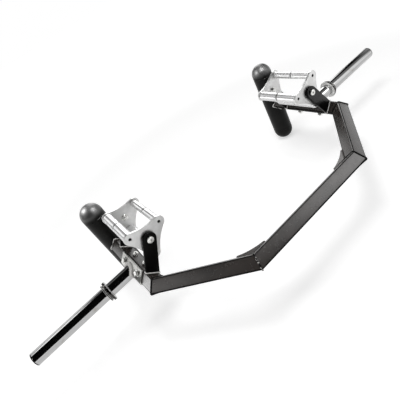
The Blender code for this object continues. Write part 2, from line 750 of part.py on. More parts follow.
def build_pivot_bolt(side_name, level, facing, material, parent):
    """Make the socket-head bolt that holds an upright and carries a plate's bush."""
    shank = PIVOT_BOLT_DIAMETER / 2
    head = PIVOT_HEAD_DIAMETER / 2
    socket = PIVOT_SOCKET_DIAMETER / 2
    seat = UPRIGHT_OUTER_Y + CLEARANCE
    top = seat + PIVOT_HEAD_HEIGHT
    tail = PIVOT_NUT_OUTER_Y - PIVOT_NUT_HEIGHT - PIVOT_BOLT_TAIL
    rings = [
        (shank, tail, 0),
        (shank, seat, 0),
        (head, seat, 0),
        (head, top - PIVOT_HEAD_ROUNDING, 0),
        (head - PIVOT_HEAD_ROUNDING, top, 0),
        (socket, top, 6),
        (socket, top - PIVOT_SOCKET_DEPTH, 6),
    ]
    work = bmesh.new()
    turned(work, rings, SMALL_ROUND_STEPS, placement((0, facing, 0), (0, 0, 0)))
    add_object(side_name + "_" + level + "_pivot_bolt", work, material, parent)


def build_pivot_nut(side_name, level, facing, material, parent):
    """Make the flanged nut that holds a plate on its bolt from inside the head."""
    bore = around(PIVOT_BOLT_DIAMETER / 2, SMALL_ROUND_STEPS)
    flat = PIVOT_NUT_FLATS / 2
    flange = PIVOT_NUT_FLANGE_DIAMETER / 2
    inner = PIVOT_NUT_OUTER_Y - PIVOT_NUT_HEIGHT
    flange_start = PIVOT_NUT_OUTER_Y - PIVOT_NUT_FLANGE_THICKNESS
    rings = [
        (bore, inner, 0),
        (flat, inner, 6),
        (flat, flange_start, 6),
        (flange, flange_start, 0),
        (flange, PIVOT_NUT_OUTER_Y, 0),
        (bore, PIVOT_NUT_OUTER_Y, 0),
    ]
    work = bmesh.new()
    turned(work, rings, SMALL_ROUND_STEPS, placement((0, facing, 0), (0, 0, 0)), bored=True)
    add_object(side_name + "_" + level + "_pivot_nut", work, material, parent)


def build_head(side_name, side, materials, frame):
    """Make a head on its own axis, and the fixed bolts that it turns on."""
    pivot = (side * PIVOT_X, 0, PIVOT_HEIGHT)
    axis = add_empty(side_name + "_head_axis", pivot, -HEAD_TURNS[side_name], frame)
    fixed = add_empty(side_name + "_pivot", pivot, 0.0, frame)
    for level, facing in ENDS.items():
        build_star_plate(side_name + "_" + level + "_star_plate", facing, materials["aluminium"], axis)
        build_bush(side_name, level, facing, materials["bronze"], axis)
        build_pivot_bolt(side_name, level, facing, materials["zinc"], fixed)
        build_pivot_nut(side_name, level, facing, materials["zinc"], fixed)
    build_grips(side_name, materials["chrome"], axis)


def build_bar():
    """Build the whole bar, left and right of the middle."""
    clear_scene()
    materials = {
        "paint": principled("paint", (0.030, 0.026, 0.025), 0.35, 0.0),
        "rubber": principled("rubber", (0.020, 0.020, 0.018), 0.45, 0.0),
        "chrome": principled("chrome", (0.78, 0.78, 0.78), 0.12, 1.0),
        "aluminium": principled("aluminium", (0.62, 0.62, 0.62), 0.40, 1.0),
        "zinc": principled("zinc", (0.66, 0.66, 0.65), 0.30, 1.0),
        "bronze": principled("bronze", (0.50, 0.33, 0.17), 0.40, 1.0),
        "plastic": principled("plastic", (0.025, 0.025, 0.025), 0.40, 0.0),
    }
    frame = add_empty("bar_frame", (0, FRAME_SHIFT_Y, 0), 0.0, None)
    build_frame(materials["paint"], frame)
    for side_name, side in SIDES.items():
        build_gusset(side_name, side, materials["paint"], frame)
        build_sleeve(side_name, side, materials["chrome"], frame)
        build_collar(side_name, side, materials["chrome"], frame)
        build_sleeve_plug(side_name, side, materials["plastic"], frame)
        build_saddle(side_name, side, materials["zinc"], frame)
        build_saddle_bolts(side_name, side, materials["zinc"], frame)
        build_stand(side_name, side, materials["rubber"], materials["rubber"], frame)
        for level, facing in ENDS.items():
            build_upright(side_name, side, level, facing, materials["paint"], frame)
        build_head(side_name, side, materials, frame)
    bpy.context.view_layer.update()


build_bar()
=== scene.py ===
import json
import math

import bpy
import numpy as np
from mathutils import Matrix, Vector
from mathutils.geometry import tessellate_polygon

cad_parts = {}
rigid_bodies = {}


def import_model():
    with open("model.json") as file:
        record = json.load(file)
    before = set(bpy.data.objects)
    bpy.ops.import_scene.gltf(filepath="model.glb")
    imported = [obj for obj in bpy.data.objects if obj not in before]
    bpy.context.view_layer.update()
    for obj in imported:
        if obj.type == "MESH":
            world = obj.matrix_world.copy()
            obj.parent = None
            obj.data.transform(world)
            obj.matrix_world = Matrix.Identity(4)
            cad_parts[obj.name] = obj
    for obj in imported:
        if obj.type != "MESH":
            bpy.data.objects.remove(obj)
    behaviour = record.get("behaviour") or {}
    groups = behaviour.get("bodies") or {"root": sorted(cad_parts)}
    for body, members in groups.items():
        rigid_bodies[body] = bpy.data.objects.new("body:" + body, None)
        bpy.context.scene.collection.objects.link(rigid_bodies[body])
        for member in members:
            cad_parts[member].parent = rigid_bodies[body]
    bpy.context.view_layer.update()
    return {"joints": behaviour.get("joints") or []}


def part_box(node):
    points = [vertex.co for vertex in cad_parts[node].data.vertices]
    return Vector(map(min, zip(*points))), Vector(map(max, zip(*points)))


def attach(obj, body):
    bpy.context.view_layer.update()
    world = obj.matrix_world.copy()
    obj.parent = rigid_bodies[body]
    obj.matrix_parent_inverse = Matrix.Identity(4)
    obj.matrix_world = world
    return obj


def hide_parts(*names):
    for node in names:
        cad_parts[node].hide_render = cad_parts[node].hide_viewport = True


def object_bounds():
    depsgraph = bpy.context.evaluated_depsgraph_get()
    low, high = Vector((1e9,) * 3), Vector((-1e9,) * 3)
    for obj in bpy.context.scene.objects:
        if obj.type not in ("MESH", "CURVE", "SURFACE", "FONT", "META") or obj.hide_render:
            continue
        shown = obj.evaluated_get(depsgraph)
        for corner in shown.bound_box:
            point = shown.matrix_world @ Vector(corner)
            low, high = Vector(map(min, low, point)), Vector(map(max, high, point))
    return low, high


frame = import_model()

# Frame tubes
# Five square steel tubes stand on edge in an open C, mitred and welded at the
# bends and coped to the stands. They are powder coated in a satin black that
# leans to brown. Painted shade: the rounded corners, the ridge's outer half and
# the faces underneath are near black, with little gloss.

GAP = 0.0003
TUBE_SIZE = 0.050
TUBE_WALL = 0.004
TUBE_EDGE_RADIUS = 0.005
ARM_X = 0.504
BACK_BEND_X = 0.247
FRONT_BEND_SETBACK = 0.158
BACK_BEND_SETBACK = 0.403
STAND_RADIUS = 0.0462
# The sine of 45 degrees, at which a tube on its edge holds its faces
SLANT = math.sqrt(0.5)


def middle(node):
    """The centre of a node's box at rest."""
    return np.mean(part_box(node), axis=0)


SLEEVE_Y = middle("left_sleeve")[1]
FRONT_BEND_Y = SLEEVE_Y - FRONT_BEND_SETBACK
BACK_BEND_Y = SLEEVE_Y - BACK_BEND_SETBACK
STAND_Y = middle("left_stand_tube")[1]


class Wire:
    """A socket in a node tree. Arithmetic on it adds Math nodes."""

    def __init__(self, tree, socket=None):
        self.tree = tree
        self.socket = socket

    def node(self, kind, sockets, settings=None, out=0):
        """Add a node: its type, what goes into its sockets, its settings, and which output to use."""
        made = self.tree.nodes.new(kind)
        for name, value in (settings or {}).items():
            setattr(made, name, value)
        for name, value in sockets.items():
            if isinstance(value, Wire):
                self.tree.links.new(value.socket, made.inputs[name])
            else:
                made.inputs[name].default_value = value
        return Wire(self.tree, made.outputs[out] if len(made.outputs) else None)

    def maths(self, operation, *values):
        """Add a Math node on up to three values."""
        return self.node("ShaderNodeMath", dict(enumerate(values)), {"operation": operation})

    def __add__(self, other):
        return self.maths("ADD", self, other)

    __radd__ = __add__

    def __mul__(self, other):
        return self.maths("MULTIPLY", self, other)

    __rmul__ = __mul__

    def __sub__(self, other):
        return self.maths("SUBTRACT", self, other)

    def __rsub__(self, other):
        return self.maths("SUBTRACT", other, self)

    def between(self, low, high):
        """0 below low, 1 above high, and a smooth rise between them."""
        smooth = {"interpolation_type": "SMOOTHSTEP"}
        return self.node("ShaderNodeMapRange", {0: self, 1: low, 2: high}, smooth)

    def noise(self, scale, detail=3.0, stretch=(1, 1, 1)):
        """Noise on the piece's own coordinates, with a scale per metre along each axis."""
        place = self.node("ShaderNodeTexCoord", {}, out=3)
        place = self.node("ShaderNodeMapping", {0: place, 3: stretch})
        return self.node("ShaderNodeTexNoise", {"Vector": place, "Scale": scale, "Detail": detail})

    def height(self):
        """How high a point lies, in metres."""
        place = self.node("ShaderNodeTexCoord", {}, out=3)
        return self.node("ShaderNodeSeparateXYZ", {0: place}, out=2)

    def bump(self, distance):
        """The slope of a surface that this lifts by up to a distance."""
        return self.node("ShaderNodeBump", {"Height": self, "Distance": distance, "Strength": 1.0})

    def blend(self, factor, first, second):
        """Mix two colours by a factor. A lone number is a grey."""
        first, second = [(*np.broadcast_to(colour, 3).tolist(), 1.0) for colour in (first, second)]
        return self.node("ShaderNodeMix", {0: factor, 6: first, 7: second}, {"data_type": "RGBA"}, out=2)


INPUTS = {"colour": "Base Color", "roughness": "Roughness", "metallic": "Metallic", "normal": "Normal",
          "coat": "Coat Weight"}


def finish_material(name, **inputs):
    """Make a material from a value for each input, or a function of its Wire where the input varies."""
    made = bpy.data.materials.new(name)
    made.use_nodes = True
    tree = made.node_tree
    for key, value in inputs.items():
        socket = tree.nodes["Principled BSDF"].inputs[INPUTS.get(key, key.replace("_", " "))]
        if callable(value):
            tree.links.new(value(Wire(tree)).socket, socket)
        else:
            socket.default_value = value
    return made


PAINT_DARK = (0.015, 0.0122, 0.0108)
PAINT_LIGHT = (0.036, 0.0300, 0.0270)

paint = finish_material(
    "satin_black_powder_coat",
    colour=lambda w: w.blend(w.noise(9.0).between(0.3, 0.7), PAINT_DARK, PAINT_LIGHT),
    roughness=lambda w: 0.20 + 0.12 * w.noise(60.0),
    normal=lambda w: (w.noise(900.0, 2.0) + 0.6 * w.noise(300.0, 2.0)).bump(0.00002),
)


def mesh_object(name, vertices, faces, material, sharp=35.0):
    """Make an object from vertices and faces, turned outwards and shaded smooth between sharp edges."""
    quads = np.array([face for face in faces if len(face) == len(faces[0])])
    corners = vertices[quads]
    area = np.cross(corners[:, 1] - corners[:, 0], corners[:, 2] - corners[:, 0])
    outward = ((corners[:, 0] - vertices.mean(axis=0)) * area).sum()
    if outward < 0:
        faces = [face[::-1] for face in faces]
    mesh = bpy.data.meshes.new(name)
    mesh.from_pydata(vertices.tolist(), [], faces)
    mesh.shade_smooth()
    mesh.set_sharp_from_angle(angle=math.radians(sharp))
    mesh.materials.append(material)
    made = bpy.data.objects.new(name, mesh)
    bpy.context.scene.collection.objects.link(made)
    return made


def skin(name, loops, material, joined=False, sharp=35.0):
    """Stretch quads over rings of points, given as an array (rings, points, 3).

    With joined, the last ring meets the first, so the rings run round a wall's
    section. Without it the first and last rings are closed by flat faces.
    """
    rings, points = loops.shape[:2]
    index = np.arange(rings * points).reshape(rings, points)
    if joined:
        index = np.vstack([index, index[:1]])
    after = np.roll(index, -1, axis=1)
    faces = np.stack([index[:-1], after[:-1], after[1:], index[1:]], axis=-1).reshape(-1, 4).tolist()
    if not joined:
        faces += [index[0, ::-1].tolist(), index[-1].tolist()]
    return mesh_object(name, loops.reshape(-1, 3), faces, material, sharp)


def turn_pair(angle):
    """The unit vectors at an array of angles: cosine and sine."""
    return np.stack([np.cos(angle), np.sin(angle)], axis=-1)


def diamond(size, edge_radius, steps=6):
    """The outline of a square on its edge: four arcs, each about a centre on an axis."""
    facing = np.arange(4)[:, None] * math.pi / 2
    sweep = facing + np.linspace(-math.pi / 4, math.pi / 4, steps + 1)
    reach = (size / 2 - edge_radius) * math.sqrt(2)
    return (reach * turn_pair(facing) + edge_radius * turn_pair(sweep)).reshape(-1, 2)


def slid_to_plane(outline, start, along, point, normal):
    """Each outline point, slid along the tube's direction until it meets a plane."""
    side = np.cross(along, (0, 0, 1))
    ring = start + outline[:, :1] * side + outline[:, 1:] * np.array((0, 0, 1))
    distance = ((point - ring) @ normal) / (along @ normal)
    return ring + distance[:, None] * along


def unit(vectors):
    """A vector, or each of several, at length one."""
    return np.array(vectors) / np.linalg.norm(vectors, axis=-1, keepdims=True)


bends = np.array([
    (-ARM_X, STAND_Y, 0),
    (-ARM_X, FRONT_BEND_Y, 0),
    (-BACK_BEND_X, BACK_BEND_Y, 0),
    (BACK_BEND_X, BACK_BEND_Y, 0),
    (ARM_X, FRONT_BEND_Y, 0),
    (ARM_X, STAND_Y, 0),
])
legs = unit(np.diff(bends, axis=0))
mitres = np.vstack([legs[:1], unit(legs[:-1] + legs[1:]), legs[-1:]])
TUBE_NODES = ["left_arm_tube", "left_diagonal_tube", "back_tube", "right_diagonal_tube", "right_arm_tube"]


def coped(ring):
    """A ring at an arm's front end, drawn back to just off the stand's round side at its own X."""
    inset = np.abs(ring[:, 0]) - ARM_X
    ring = ring.copy()
    ring[:, 1] = STAND_Y - np.sqrt((STAND_RADIUS + GAP) ** 2 - inset ** 2)
    return ring


def tube_end(outline, leg, bend):
    """The ring of a tube where it meets one of its two bends, or the stand."""
    ring = slid_to_plane(outline, bends[leg], legs[leg], bends[bend], mitres[bend])
    if bend in (0, len(bends) - 1):
        return coped(ring)
    return ring + (GAP / 2 if bend == leg else -GAP / 2) * legs[leg]


CORNER_TILT = 0.05
BAR_CENTRE = np.array((0.0, 0.10))

# Painted shade on the tubes' rounded corners and undersides: a near-black matt paint.
edge_shade_paint = finish_material(
    "dull_black_edges",
    colour=lambda w: w.blend(w.noise(60.0), 0.002, (0.006, 0.0055, 0.005)),
    roughness=lambda w: 0.55 + 0.10 * w.noise(80.0),
    Specular_IOR_Level=0.04,
)


def fit(piece, node, body):
    """Put a piece in a node's place and let it ride a body."""
    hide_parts(node)
    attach(piece, body)


def second_finish(piece, material, picks, measure="normal"):
    """Give a second material to the faces that a test picks from the array of their normals.

    With measure "center" the test gets the faces' centres.
    """
    mesh = piece.data
    mesh.materials.append(material)
    values = np.zeros(len(mesh.polygons) * 3)
    mesh.polygons.foreach_get(measure, values)
    mesh.polygons.foreach_set("material_index", picks(values.reshape(-1, 3)).astype(int))
    mesh.update()


def shaded_edge_test(outwards):
    """A test for the faces given painted shade: all but a tube's two flat upper faces and its ridge's half
    towards the bar's middle.
    """
    def picks(normals):
        tilt = normals[:, 2] - SLANT
        return (tilt < -CORNER_TILT) | ((tilt > CORNER_TILT) & (normals[:, :2] @ outwards > 0))
    return picks


tube_outline = diamond(TUBE_SIZE, TUBE_EDGE_RADIUS)
tube_bore = diamond(TUBE_SIZE - 2 * TUBE_WALL, TUBE_EDGE_RADIUS - TUBE_WALL)
for leg, node in enumerate(TUBE_NODES):
    outside = [tube_end(tube_outline, leg, leg), tube_end(tube_outline, leg, leg + 1)]
    inside = [tube_end(tube_bore, leg, leg + 1), tube_end(tube_bore, leg, leg)]
    tube = skin(f"painted_{node}", np.array(outside + inside), paint, joined=True)
    # The corners and undersides get the painted shade.
    second_finish(tube, edge_shade_paint, shaded_edge_test(bends[leg:leg + 2, :2].mean(axis=0) - BAR_CENTRE))
    fit(tube, node, "frame")

# Corner gussets
# A flat steel plate stiffens each inner corner of the two back bends. Its open
# edge is hollow and its ends are square. It is 6 mm thick with broken edges,
# welded along both tubes and painted with them.

SIDES = {"left": -1, "right": 1}
GUSSET_LEG = 0.055
GUSSET_END = 0.006
GUSSET_WAIST = 0.020
GUSSET_EDGE = 0.0008
# The degrees between two faces from which the edge between them is broken
BROKEN_FROM = 40


def extruded(name, outline, low, high, across, material, edge, segments=2):
    """Stretch an outline (points, 2) of one plane into a plate with rounded edges.

    across gives the two axes that the outline's numbers follow, and the plate
    runs from low to high along the third.
    """
    loops = np.zeros((2, len(outline), 3))
    loops[:, :, across] = outline
    loops[:, :, 3 - sum(across)] = [[low], [high]]
    plate = skin(name, loops, material)
    bevel = plate.modifiers.new("rounded_edges", "BEVEL")
    bevel.width = edge
    bevel.segments = segments
    bevel.limit_method = "ANGLE"
    bevel.angle_limit = math.radians(BROKEN_FROM)
    bevel.harden_normals = True
    return plate


def hollow_edge(start, waist, end, steps=16):
    """Points on the circle through three points, from the first to the last."""
    chord = (start + end) / 2
    rise = waist - chord
    depth = np.linalg.norm(rise)
    radius = (np.linalg.norm(end - start) ** 2 / 4 + depth ** 2) / (2 * depth)
    centre = waist - rise / depth * radius
    first, last = start - centre, end - centre
    begin = math.atan2(first[1], first[0])
    sweep = math.remainder(math.atan2(last[1], last[0]) - begin, 2 * math.pi)
    angle = begin + np.linspace(0, sweep, steps + 1)
    return centre + radius * turn_pair(angle)


tube_ridge = tube_outline[:, 0].max()
gusset_low, gusset_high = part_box("left_corner_gusset")
gusset_half = (gusset_high[2] - gusset_low[2]) / 2
gusset_legs = {}
for hand, side in SIDES.items():
    back_bend = np.array((side * BACK_BEND_X, BACK_BEND_Y))
    along_diagonal = unit(np.array((side * ARM_X, FRONT_BEND_Y)) - back_bend)
    along_back = np.array((-side, 0.0))
    halfway = unit(along_diagonal + along_back)
    sine = abs(along_diagonal[0] * halfway[1] - along_diagonal[1] * halfway[0])
    corner = back_bend + halfway * (tube_ridge + GAP) / sine
    off_diagonal = unit(halfway - along_diagonal * (halfway @ along_diagonal))
    feet = [corner + along_diagonal * GUSSET_LEG, corner + along_back * GUSSET_LEG]
    tips = [feet[0] + off_diagonal * GUSSET_END, feet[1] + np.array((0.0, GUSSET_END))]
    edge = hollow_edge(tips[0], corner + halfway * GUSSET_WAIST, tips[1])
    gusset_legs[hand] = np.array([feet[0], corner, feet[1]])
    outline = np.vstack([corner, feet[0], edge, feet[1]])
    node = f"{hand}_corner_gusset"
    gusset = extruded(f"painted_{node}", outline, -gusset_half, gusset_half, (0, 1), paint, GUSSET_EDGE)
    fit(gusset, node, "frame")

# Frame welds
# A small fillet runs round each mitre and along both legs of each gusset, laid
# in short overlapping steps. The mitres' are painted matt black, one of them
# with painted highlights as light specks on its ripples, and the gussets' are
# painted with the frame.

MITRE_BEAD = 0.0030
GUSSET_BEAD = 0.0022
BEAD_STEP = 0.0020
BEAD_RIPPLE = 0.10
RINGS_PER_STEP = 3
BEAD_POINTS = 8
# A direction along which no bead runs
BEAD_ASIDE = (0.3, 0.2, 0.93)
SEAM_GLINT_GREY = (0.50, 0.49, 0.47)

seam_paint = finish_material(
    "matt_black_seam_paint",
    colour=lambda w: w.blend(w.noise(60.0), 0.001, 0.003),
    roughness=lambda w: 0.45 + 0.10 * w.noise(80.0),
    Specular_IOR_Level=0.15,
)
# Painted highlights: light specks on the left back seam's ripples.
worn_seam_paint = finish_material(
    "worn_seam_paint",
    colour=lambda w: w.blend(w.noise(150.0, 1.0).between(0.55, 0.62), 0.002, SEAM_GLINT_GREY),
    roughness=lambda w: 0.40 + 0.10 * w.noise(80.0),
    Specular_IOR_Level=0.15,
)


def spaced(path, step, closed):
    """A path resampled at even steps along its own length."""
    if closed:
        path = np.vstack([path, path[:1]])
    length = np.r_[0, np.cumsum(np.linalg.norm(np.diff(path, axis=0), axis=1))]
    count = max(int(length[-1] / step), 4)
    places = np.linspace(0, length[-1], count, endpoint=not closed)
    return np.stack([np.interp(places, length, path[:, axis]) for axis in range(3)], axis=1)


def all_round(count):
    """Evenly spaced angles, once round from zero."""
    return np.arange(count) * 2 * math.pi / count


def weld_bead(name, path, radius, material, closed=True):
    """A round bead along a path, its radius rising and falling once for each weld step."""
    centre = spaced(path, BEAD_STEP / RINGS_PER_STEP, closed)
    if closed:
        tangent = np.roll(centre, -1, axis=0) - np.roll(centre, 1, axis=0)
    else:
        tangent = np.gradient(centre, axis=0)
    tangent = unit(tangent)
    side = unit(np.cross(tangent, BEAD_ASIDE))
    ripple = 1 + BEAD_RIPPLE * np.sin(np.arange(len(centre)) * 2 * math.pi / RINGS_PER_STEP)
    rings = turn_pair(all_round(BEAD_POINTS)) @ np.stack([side, np.cross(tangent, side)], axis=1)
    rings = centre[:, None] + radius * ripple[:, None, None] * rings
    bead = skin(name, rings, material, joined=closed, sharp=80.0)
    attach(bead, "frame")


MITRE_NAMES = ["left_front_bend", "left_back_bend", "right_back_bend", "right_front_bend"]
for bend, name in enumerate(MITRE_NAMES, start=1):
    ring = slid_to_plane(tube_outline, bends[bend], legs[bend], bends[bend], mitres[bend])
    # The left back bend's seam carries the painted highlights.
    finish = worn_seam_paint if name == "left_back_bend" else seam_paint
    weld_bead(f"{name}_weld", ring, MITRE_BEAD, finish)
for hand, line in gusset_legs.items():
    for level, up in (("upper", 1), ("lower", -1)):
        path = np.full((3, 3), up * gusset_half)
        path[:, :2] = line
        weld_bead(f"{hand}_gusset_{level}_weld", path, GUSSET_BEAD, paint, closed=False)

# Stands
# Each arm ends in an upright round stand: a thick tube with a domed cap pressed
# into either end and a thin groove where they meet. They are black rubber with
# a fine matt grain, and the upper domes are glossier.

STAND_SEAM_EDGE = 0.0008
STAND_STEPS = 96
DOME_STEPS = 24
CAP_SKIRT = 0.012
POLE_RADIUS = 0.0004
GLOSS_BELOW = 0.006
GLOSS_ABOVE = 0.014
cap_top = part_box("left_stand_upper_cap")[1][2]
dome_centre_z = cap_top - STAND_RADIUS
stand_seam_z = dome_centre_z - CAP_SKIRT

RUBBER_DARK = (0.003, 0.003, 0.0027)
RUBBER_LIGHT = (0.009, 0.0088, 0.0080)

rubber = finish_material(
    "black_moulded_rubber",
    colour=lambda w: w.blend(w.noise(14.0).between(0.3, 0.7), RUBBER_DARK, RUBBER_LIGHT),
    roughness=lambda w: 0.34 + 0.10 * w.noise(45.0),
    normal=lambda w: w.noise(900.0, 2.0).bump(0.00002),
    coat=lambda w: w.height().between(dome_centre_z - GLOSS_BELOW, dome_centre_z + GLOSS_ABOVE),
    Specular_IOR_Level=0.12,
    Coat_Roughness=0.48,
    Coat_IOR=1.8,
)


def turned(profile, steps, origin, axis):
    """Rings for a turned piece: each (radius, height) swept round an axis from its origin."""
    profile = np.array(profile, dtype=float)
    axis = unit(axis)
    side = unit(np.cross(axis, (0, 0, 1) if axis[2] < 1 else (1, 0, 0)))
    spokes = turn_pair(all_round(steps)) @ np.array([side, np.cross(axis, side)])
    return np.array(origin) + profile[:, :1, None] * spokes + profile[:, 1:2, None] * axis


rise = np.linspace(0, math.pi / 2, DOME_STEPS + 1)[:-1]
dome = STAND_RADIUS * turn_pair(rise) + (0, dome_centre_z)
seam = stand_seam_z - GAP / 2
tube_half = np.array([(STAND_RADIUS, seam - STAND_SEAM_EDGE), (STAND_RADIUS - STAND_SEAM_EDGE, seam)])
tube_profile = np.vstack([tube_half[::-1] * (1, -1), tube_half])
cap_foot = [(STAND_RADIUS - STAND_SEAM_EDGE, seam + GAP), (STAND_RADIUS, seam + GAP + STAND_SEAM_EDGE)]
cap_profile = np.vstack([cap_foot, dome, [(POLE_RADIUS, cap_top)]])
stand_profiles = {"tube": tube_profile, "upper_cap": cap_profile, "lower_cap": cap_profile * (1, -1)}
for hand, side in SIDES.items():
    for part, profile in stand_profiles.items():
        node = f"{hand}_stand_{part}"
        rings = turned(profile, STAND_STEPS, (side * ARM_X, STAND_Y, 0), (0, 0, 1))
        piece = skin(f"rubber_{node}", rings, rubber)
        fit(piece, node, "frame")

# Stand welds
# The arm is coped to the stand's tube and welded all round, and the bead is
# left bright.

COPE_BEAD = 0.0024
STEEL_DARK = (0.72, 0.71, 0.69)
STEEL_LIGHT = (0.95, 0.94, 0.92)

weld_steel = finish_material(
    "bright_weld_steel",
    colour=lambda w: w.blend(w.noise(300.0), STEEL_DARK, STEEL_LIGHT),
    roughness=lambda w: 0.25 + 0.25 * w.noise(500.0),
    metallic=0.15,
    normal=lambda w: w.noise(1500.0).bump(0.0001),
)

for hand, leg, bend in (("left", 0, 0), ("right", 4, 5)):
    weld_bead(f"{hand}_stand_weld", tube_end(tube_outline, leg, bend), COPE_BEAD, weld_steel)

# Uprights
# Two flat steel straps rise from the inner upper face of each arm and lean in
# to the head's axis. They are round at the top, painted a deeper black than the
# frame, and welded round the foot with a bright bead.

ENDS = {"rear": -1, "front": 1}
UPRIGHT_WIDTH = 0.050
UPRIGHT_EDGE = 0.0018

pivots = {joint["child"]: np.array(joint["pos_m"]) for joint in frame["joints"]}
heads = {hand: pivots[f"{hand}_head"] for hand in SIDES}

strap_paint = finish_material(
    "black_strap_paint",
    colour=lambda w: w.blend(w.noise(20.0), 0.0015, (0.0040, 0.0038, 0.0036)),
    roughness=lambda w: 0.24 + 0.10 * w.noise(80.0),
    normal=lambda w: w.noise(900.0, 2.0).bump(0.00004),
    Specular_IOR_Level=0.06,
)


def upright_outline(side, pivot, steps=24):
    """A strap's outline in XZ: a half circle about the head's axis, then straight to the arm's face."""
    face_normal = np.array((-side * SLANT, SLANT))
    foot = np.array((side * ARM_X, 0.0)) + face_normal * (TUBE_SIZE / 2 + GAP)
    top = pivot[[0, 2]]
    down = unit(foot - top)
    across = np.array((-down[1], down[0]))
    half = UPRIGHT_WIDTH / 2
    start = math.atan2(across[1], across[0])
    round_top = top + half * turn_pair(np.linspace(start, start + math.pi, steps + 1))
    edges = top + np.array([[-half], [half]]) * across
    reach = ((foot - edges) @ face_normal) / (down @ face_normal)
    return np.vstack([round_top, edges + reach[:, None] * down])


for hand, side in SIDES.items():
    outline = upright_outline(side, heads[hand])
    for end in ENDS:
        node = f"{hand}_{end}_upright"
        low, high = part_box(node)
        strap = extruded(f"painted_{node}", outline, low[1], high[1], (0, 2), strap_paint, UPRIGHT_EDGE, 3)
        fit(strap, node, "frame")
        path = outline[[-2, -1, -1, -2]][:, [0, 1, 1]]
        path[:, 1] = low[1], low[1], high[1], high[1]
        weld_bead(f"{hand}_{end}_upright_weld", path, COPE_BEAD, weld_steel)

# Saddles
# A plate bent over the arm's outer ridge carries each sleeve. It is zinc
# plated steel with rounded edges, left bright and a little uneven in gloss.

SADDLE_THICKNESS = 0.006
SADDLE_LEG = 0.047
SADDLE_EDGE = 0.0012

ZINC_DARK = (0.34, 0.34, 0.325)
ZINC_LIGHT = (0.62, 0.62, 0.60)

zinc = finish_material(
    "bright_zinc_plate",
    colour=lambda w: w.blend(w.noise(70.0, 5.0), ZINC_DARK, ZINC_LIGHT),
    roughness=lambda w: 0.22 + 0.16 * w.noise(160.0),
    metallic=1.0,
    normal=lambda w: w.noise(700.0, 3.0).bump(0.00004),
)


def saddle_outline(side, steps=8):
    """A saddle's outline in XZ: out round the nose, then back along the arm's two faces."""
    inner = TUBE_SIZE / 2 + GAP
    outer = inner + SADDLE_THICKNESS
    bend = TUBE_EDGE_RADIUS + SADDLE_THICKNESS
    leg = SADDLE_LEG - TUBE_SIZE / 2
    turn = turn_pair(np.linspace(-math.pi / 4, math.pi / 4, steps + 1))
    nose = np.array(((outer - bend) * math.sqrt(2), 0)) + bend * turn
    hollow = np.array(((inner - TUBE_EDGE_RADIUS) * math.sqrt(2), 0)) + TUBE_EDGE_RADIUS * turn[::-1]
    feet = np.array([(distance - leg, distance + leg) for distance in (outer, inner)]) * SLANT
    outline = np.vstack([feet[:1] * (1, -1), nose, feet, hollow, feet[1:] * (1, -1)])
    return outline * (side, 1) + (side * ARM_X, 0)


for hand, side in SIDES.items():
    node = f"{hand}_saddle"
    low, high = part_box(node)
    saddle = extruded(f"zinc_{node}", saddle_outline(side), low[1], high[1], (0, 2), zinc, SADDLE_EDGE)
    fit(saddle, node, "frame")

# Saddle bolts
# Four hexagon bolts clamp each saddle, two through the arm's upper face and two
# through its lower one, with their nuts on the faces behind. They are zinc
# plated, with chamfered hexagons, and a flange under each head.

BOLT_RADIUS = 0.005
BOLT_FLATS = 0.018
BOLT_HEAD = 0.007
BOLT_FLANGE_RADIUS = 0.0125
BOLT_FLANGE = 0.002
FLANGE_EDGE_WIDTH = 0.0006
FLANGE_EDGE_HEIGHT = 0.0008
NUT_HEIGHT = 0.010
BOLT_TAIL = 0.003
SADDLE_SETBACK = 0.010
UPPER_BOLT_OFFSET = 0.056
LOWER_BOLT_OFFSET = 0.041
BOLT_STEPS = 48
THREAD_PITCH = 0.0015
THREAD_DEPTH = 0.0005
HEXAGON_FACE = 0.97
CONE_RINGS = 4
HEXAGON_SLOPE = math.tan(math.radians(30))

bolt_zinc = finish_material(
    "bright_zinc_bolts",
    colour=lambda w: w.blend(w.noise(120.0, 4.0), (0.66, 0.66, 0.64), (0.90, 0.90, 0.88)),
    roughness=lambda w: 0.18 + 0.16 * w.noise(260.0),
    metallic=1.0,
    normal=lambda w: w.noise(900.0, 3.0).bump(0.00004),
)


def hexagon(flats, angle):
    """The reach of a hexagon's side at an angle."""
    return flats / 2 / np.cos((angle + math.pi / 6) % (math.pi / 3) - math.pi / 6)


def hexagon_rings(flats, base, top, steps, origin, axis, both=False):
    """Rings for a hexagon whose corners a cone of 30 degrees cuts back at its top, or at both ends."""
    face = flats / 2 * HEXAGON_FACE
    limits = np.linspace(face, flats / math.sqrt(3), CONE_RINGS)
    fall = (limits - face) * HEXAGON_SLOPE
    inwards = math.copysign(1.0, base - top)
    heights, reaches = (base - inwards * fall, limits) if both else (base, flats / math.sqrt(3))
    heights = np.r_[heights, top + inwards * fall[::-1]]
    reaches = np.r_[reaches, limits[::-1]]
    reach = np.minimum(hexagon(flats, all_round(steps)), reaches[:, None])
    spokes = turned([(1.0, 0.0)], steps, (0, 0, 0), axis)[0]
    return np.array(origin) + reach[:, :, None] * spokes + heights[:, None, None] * unit(axis)


def threaded(radius, low, high, pitch):
    """A profile of plain grooves at the pitch of a thread, from low to high."""
    count = max(int(abs(high - low) / pitch * 2), 2)
    heights = np.linspace(low, high, count + 1)
    radii = radius - THREAD_DEPTH * (np.arange(count + 1) % 2)
    return np.stack([radii, heights], axis=1)


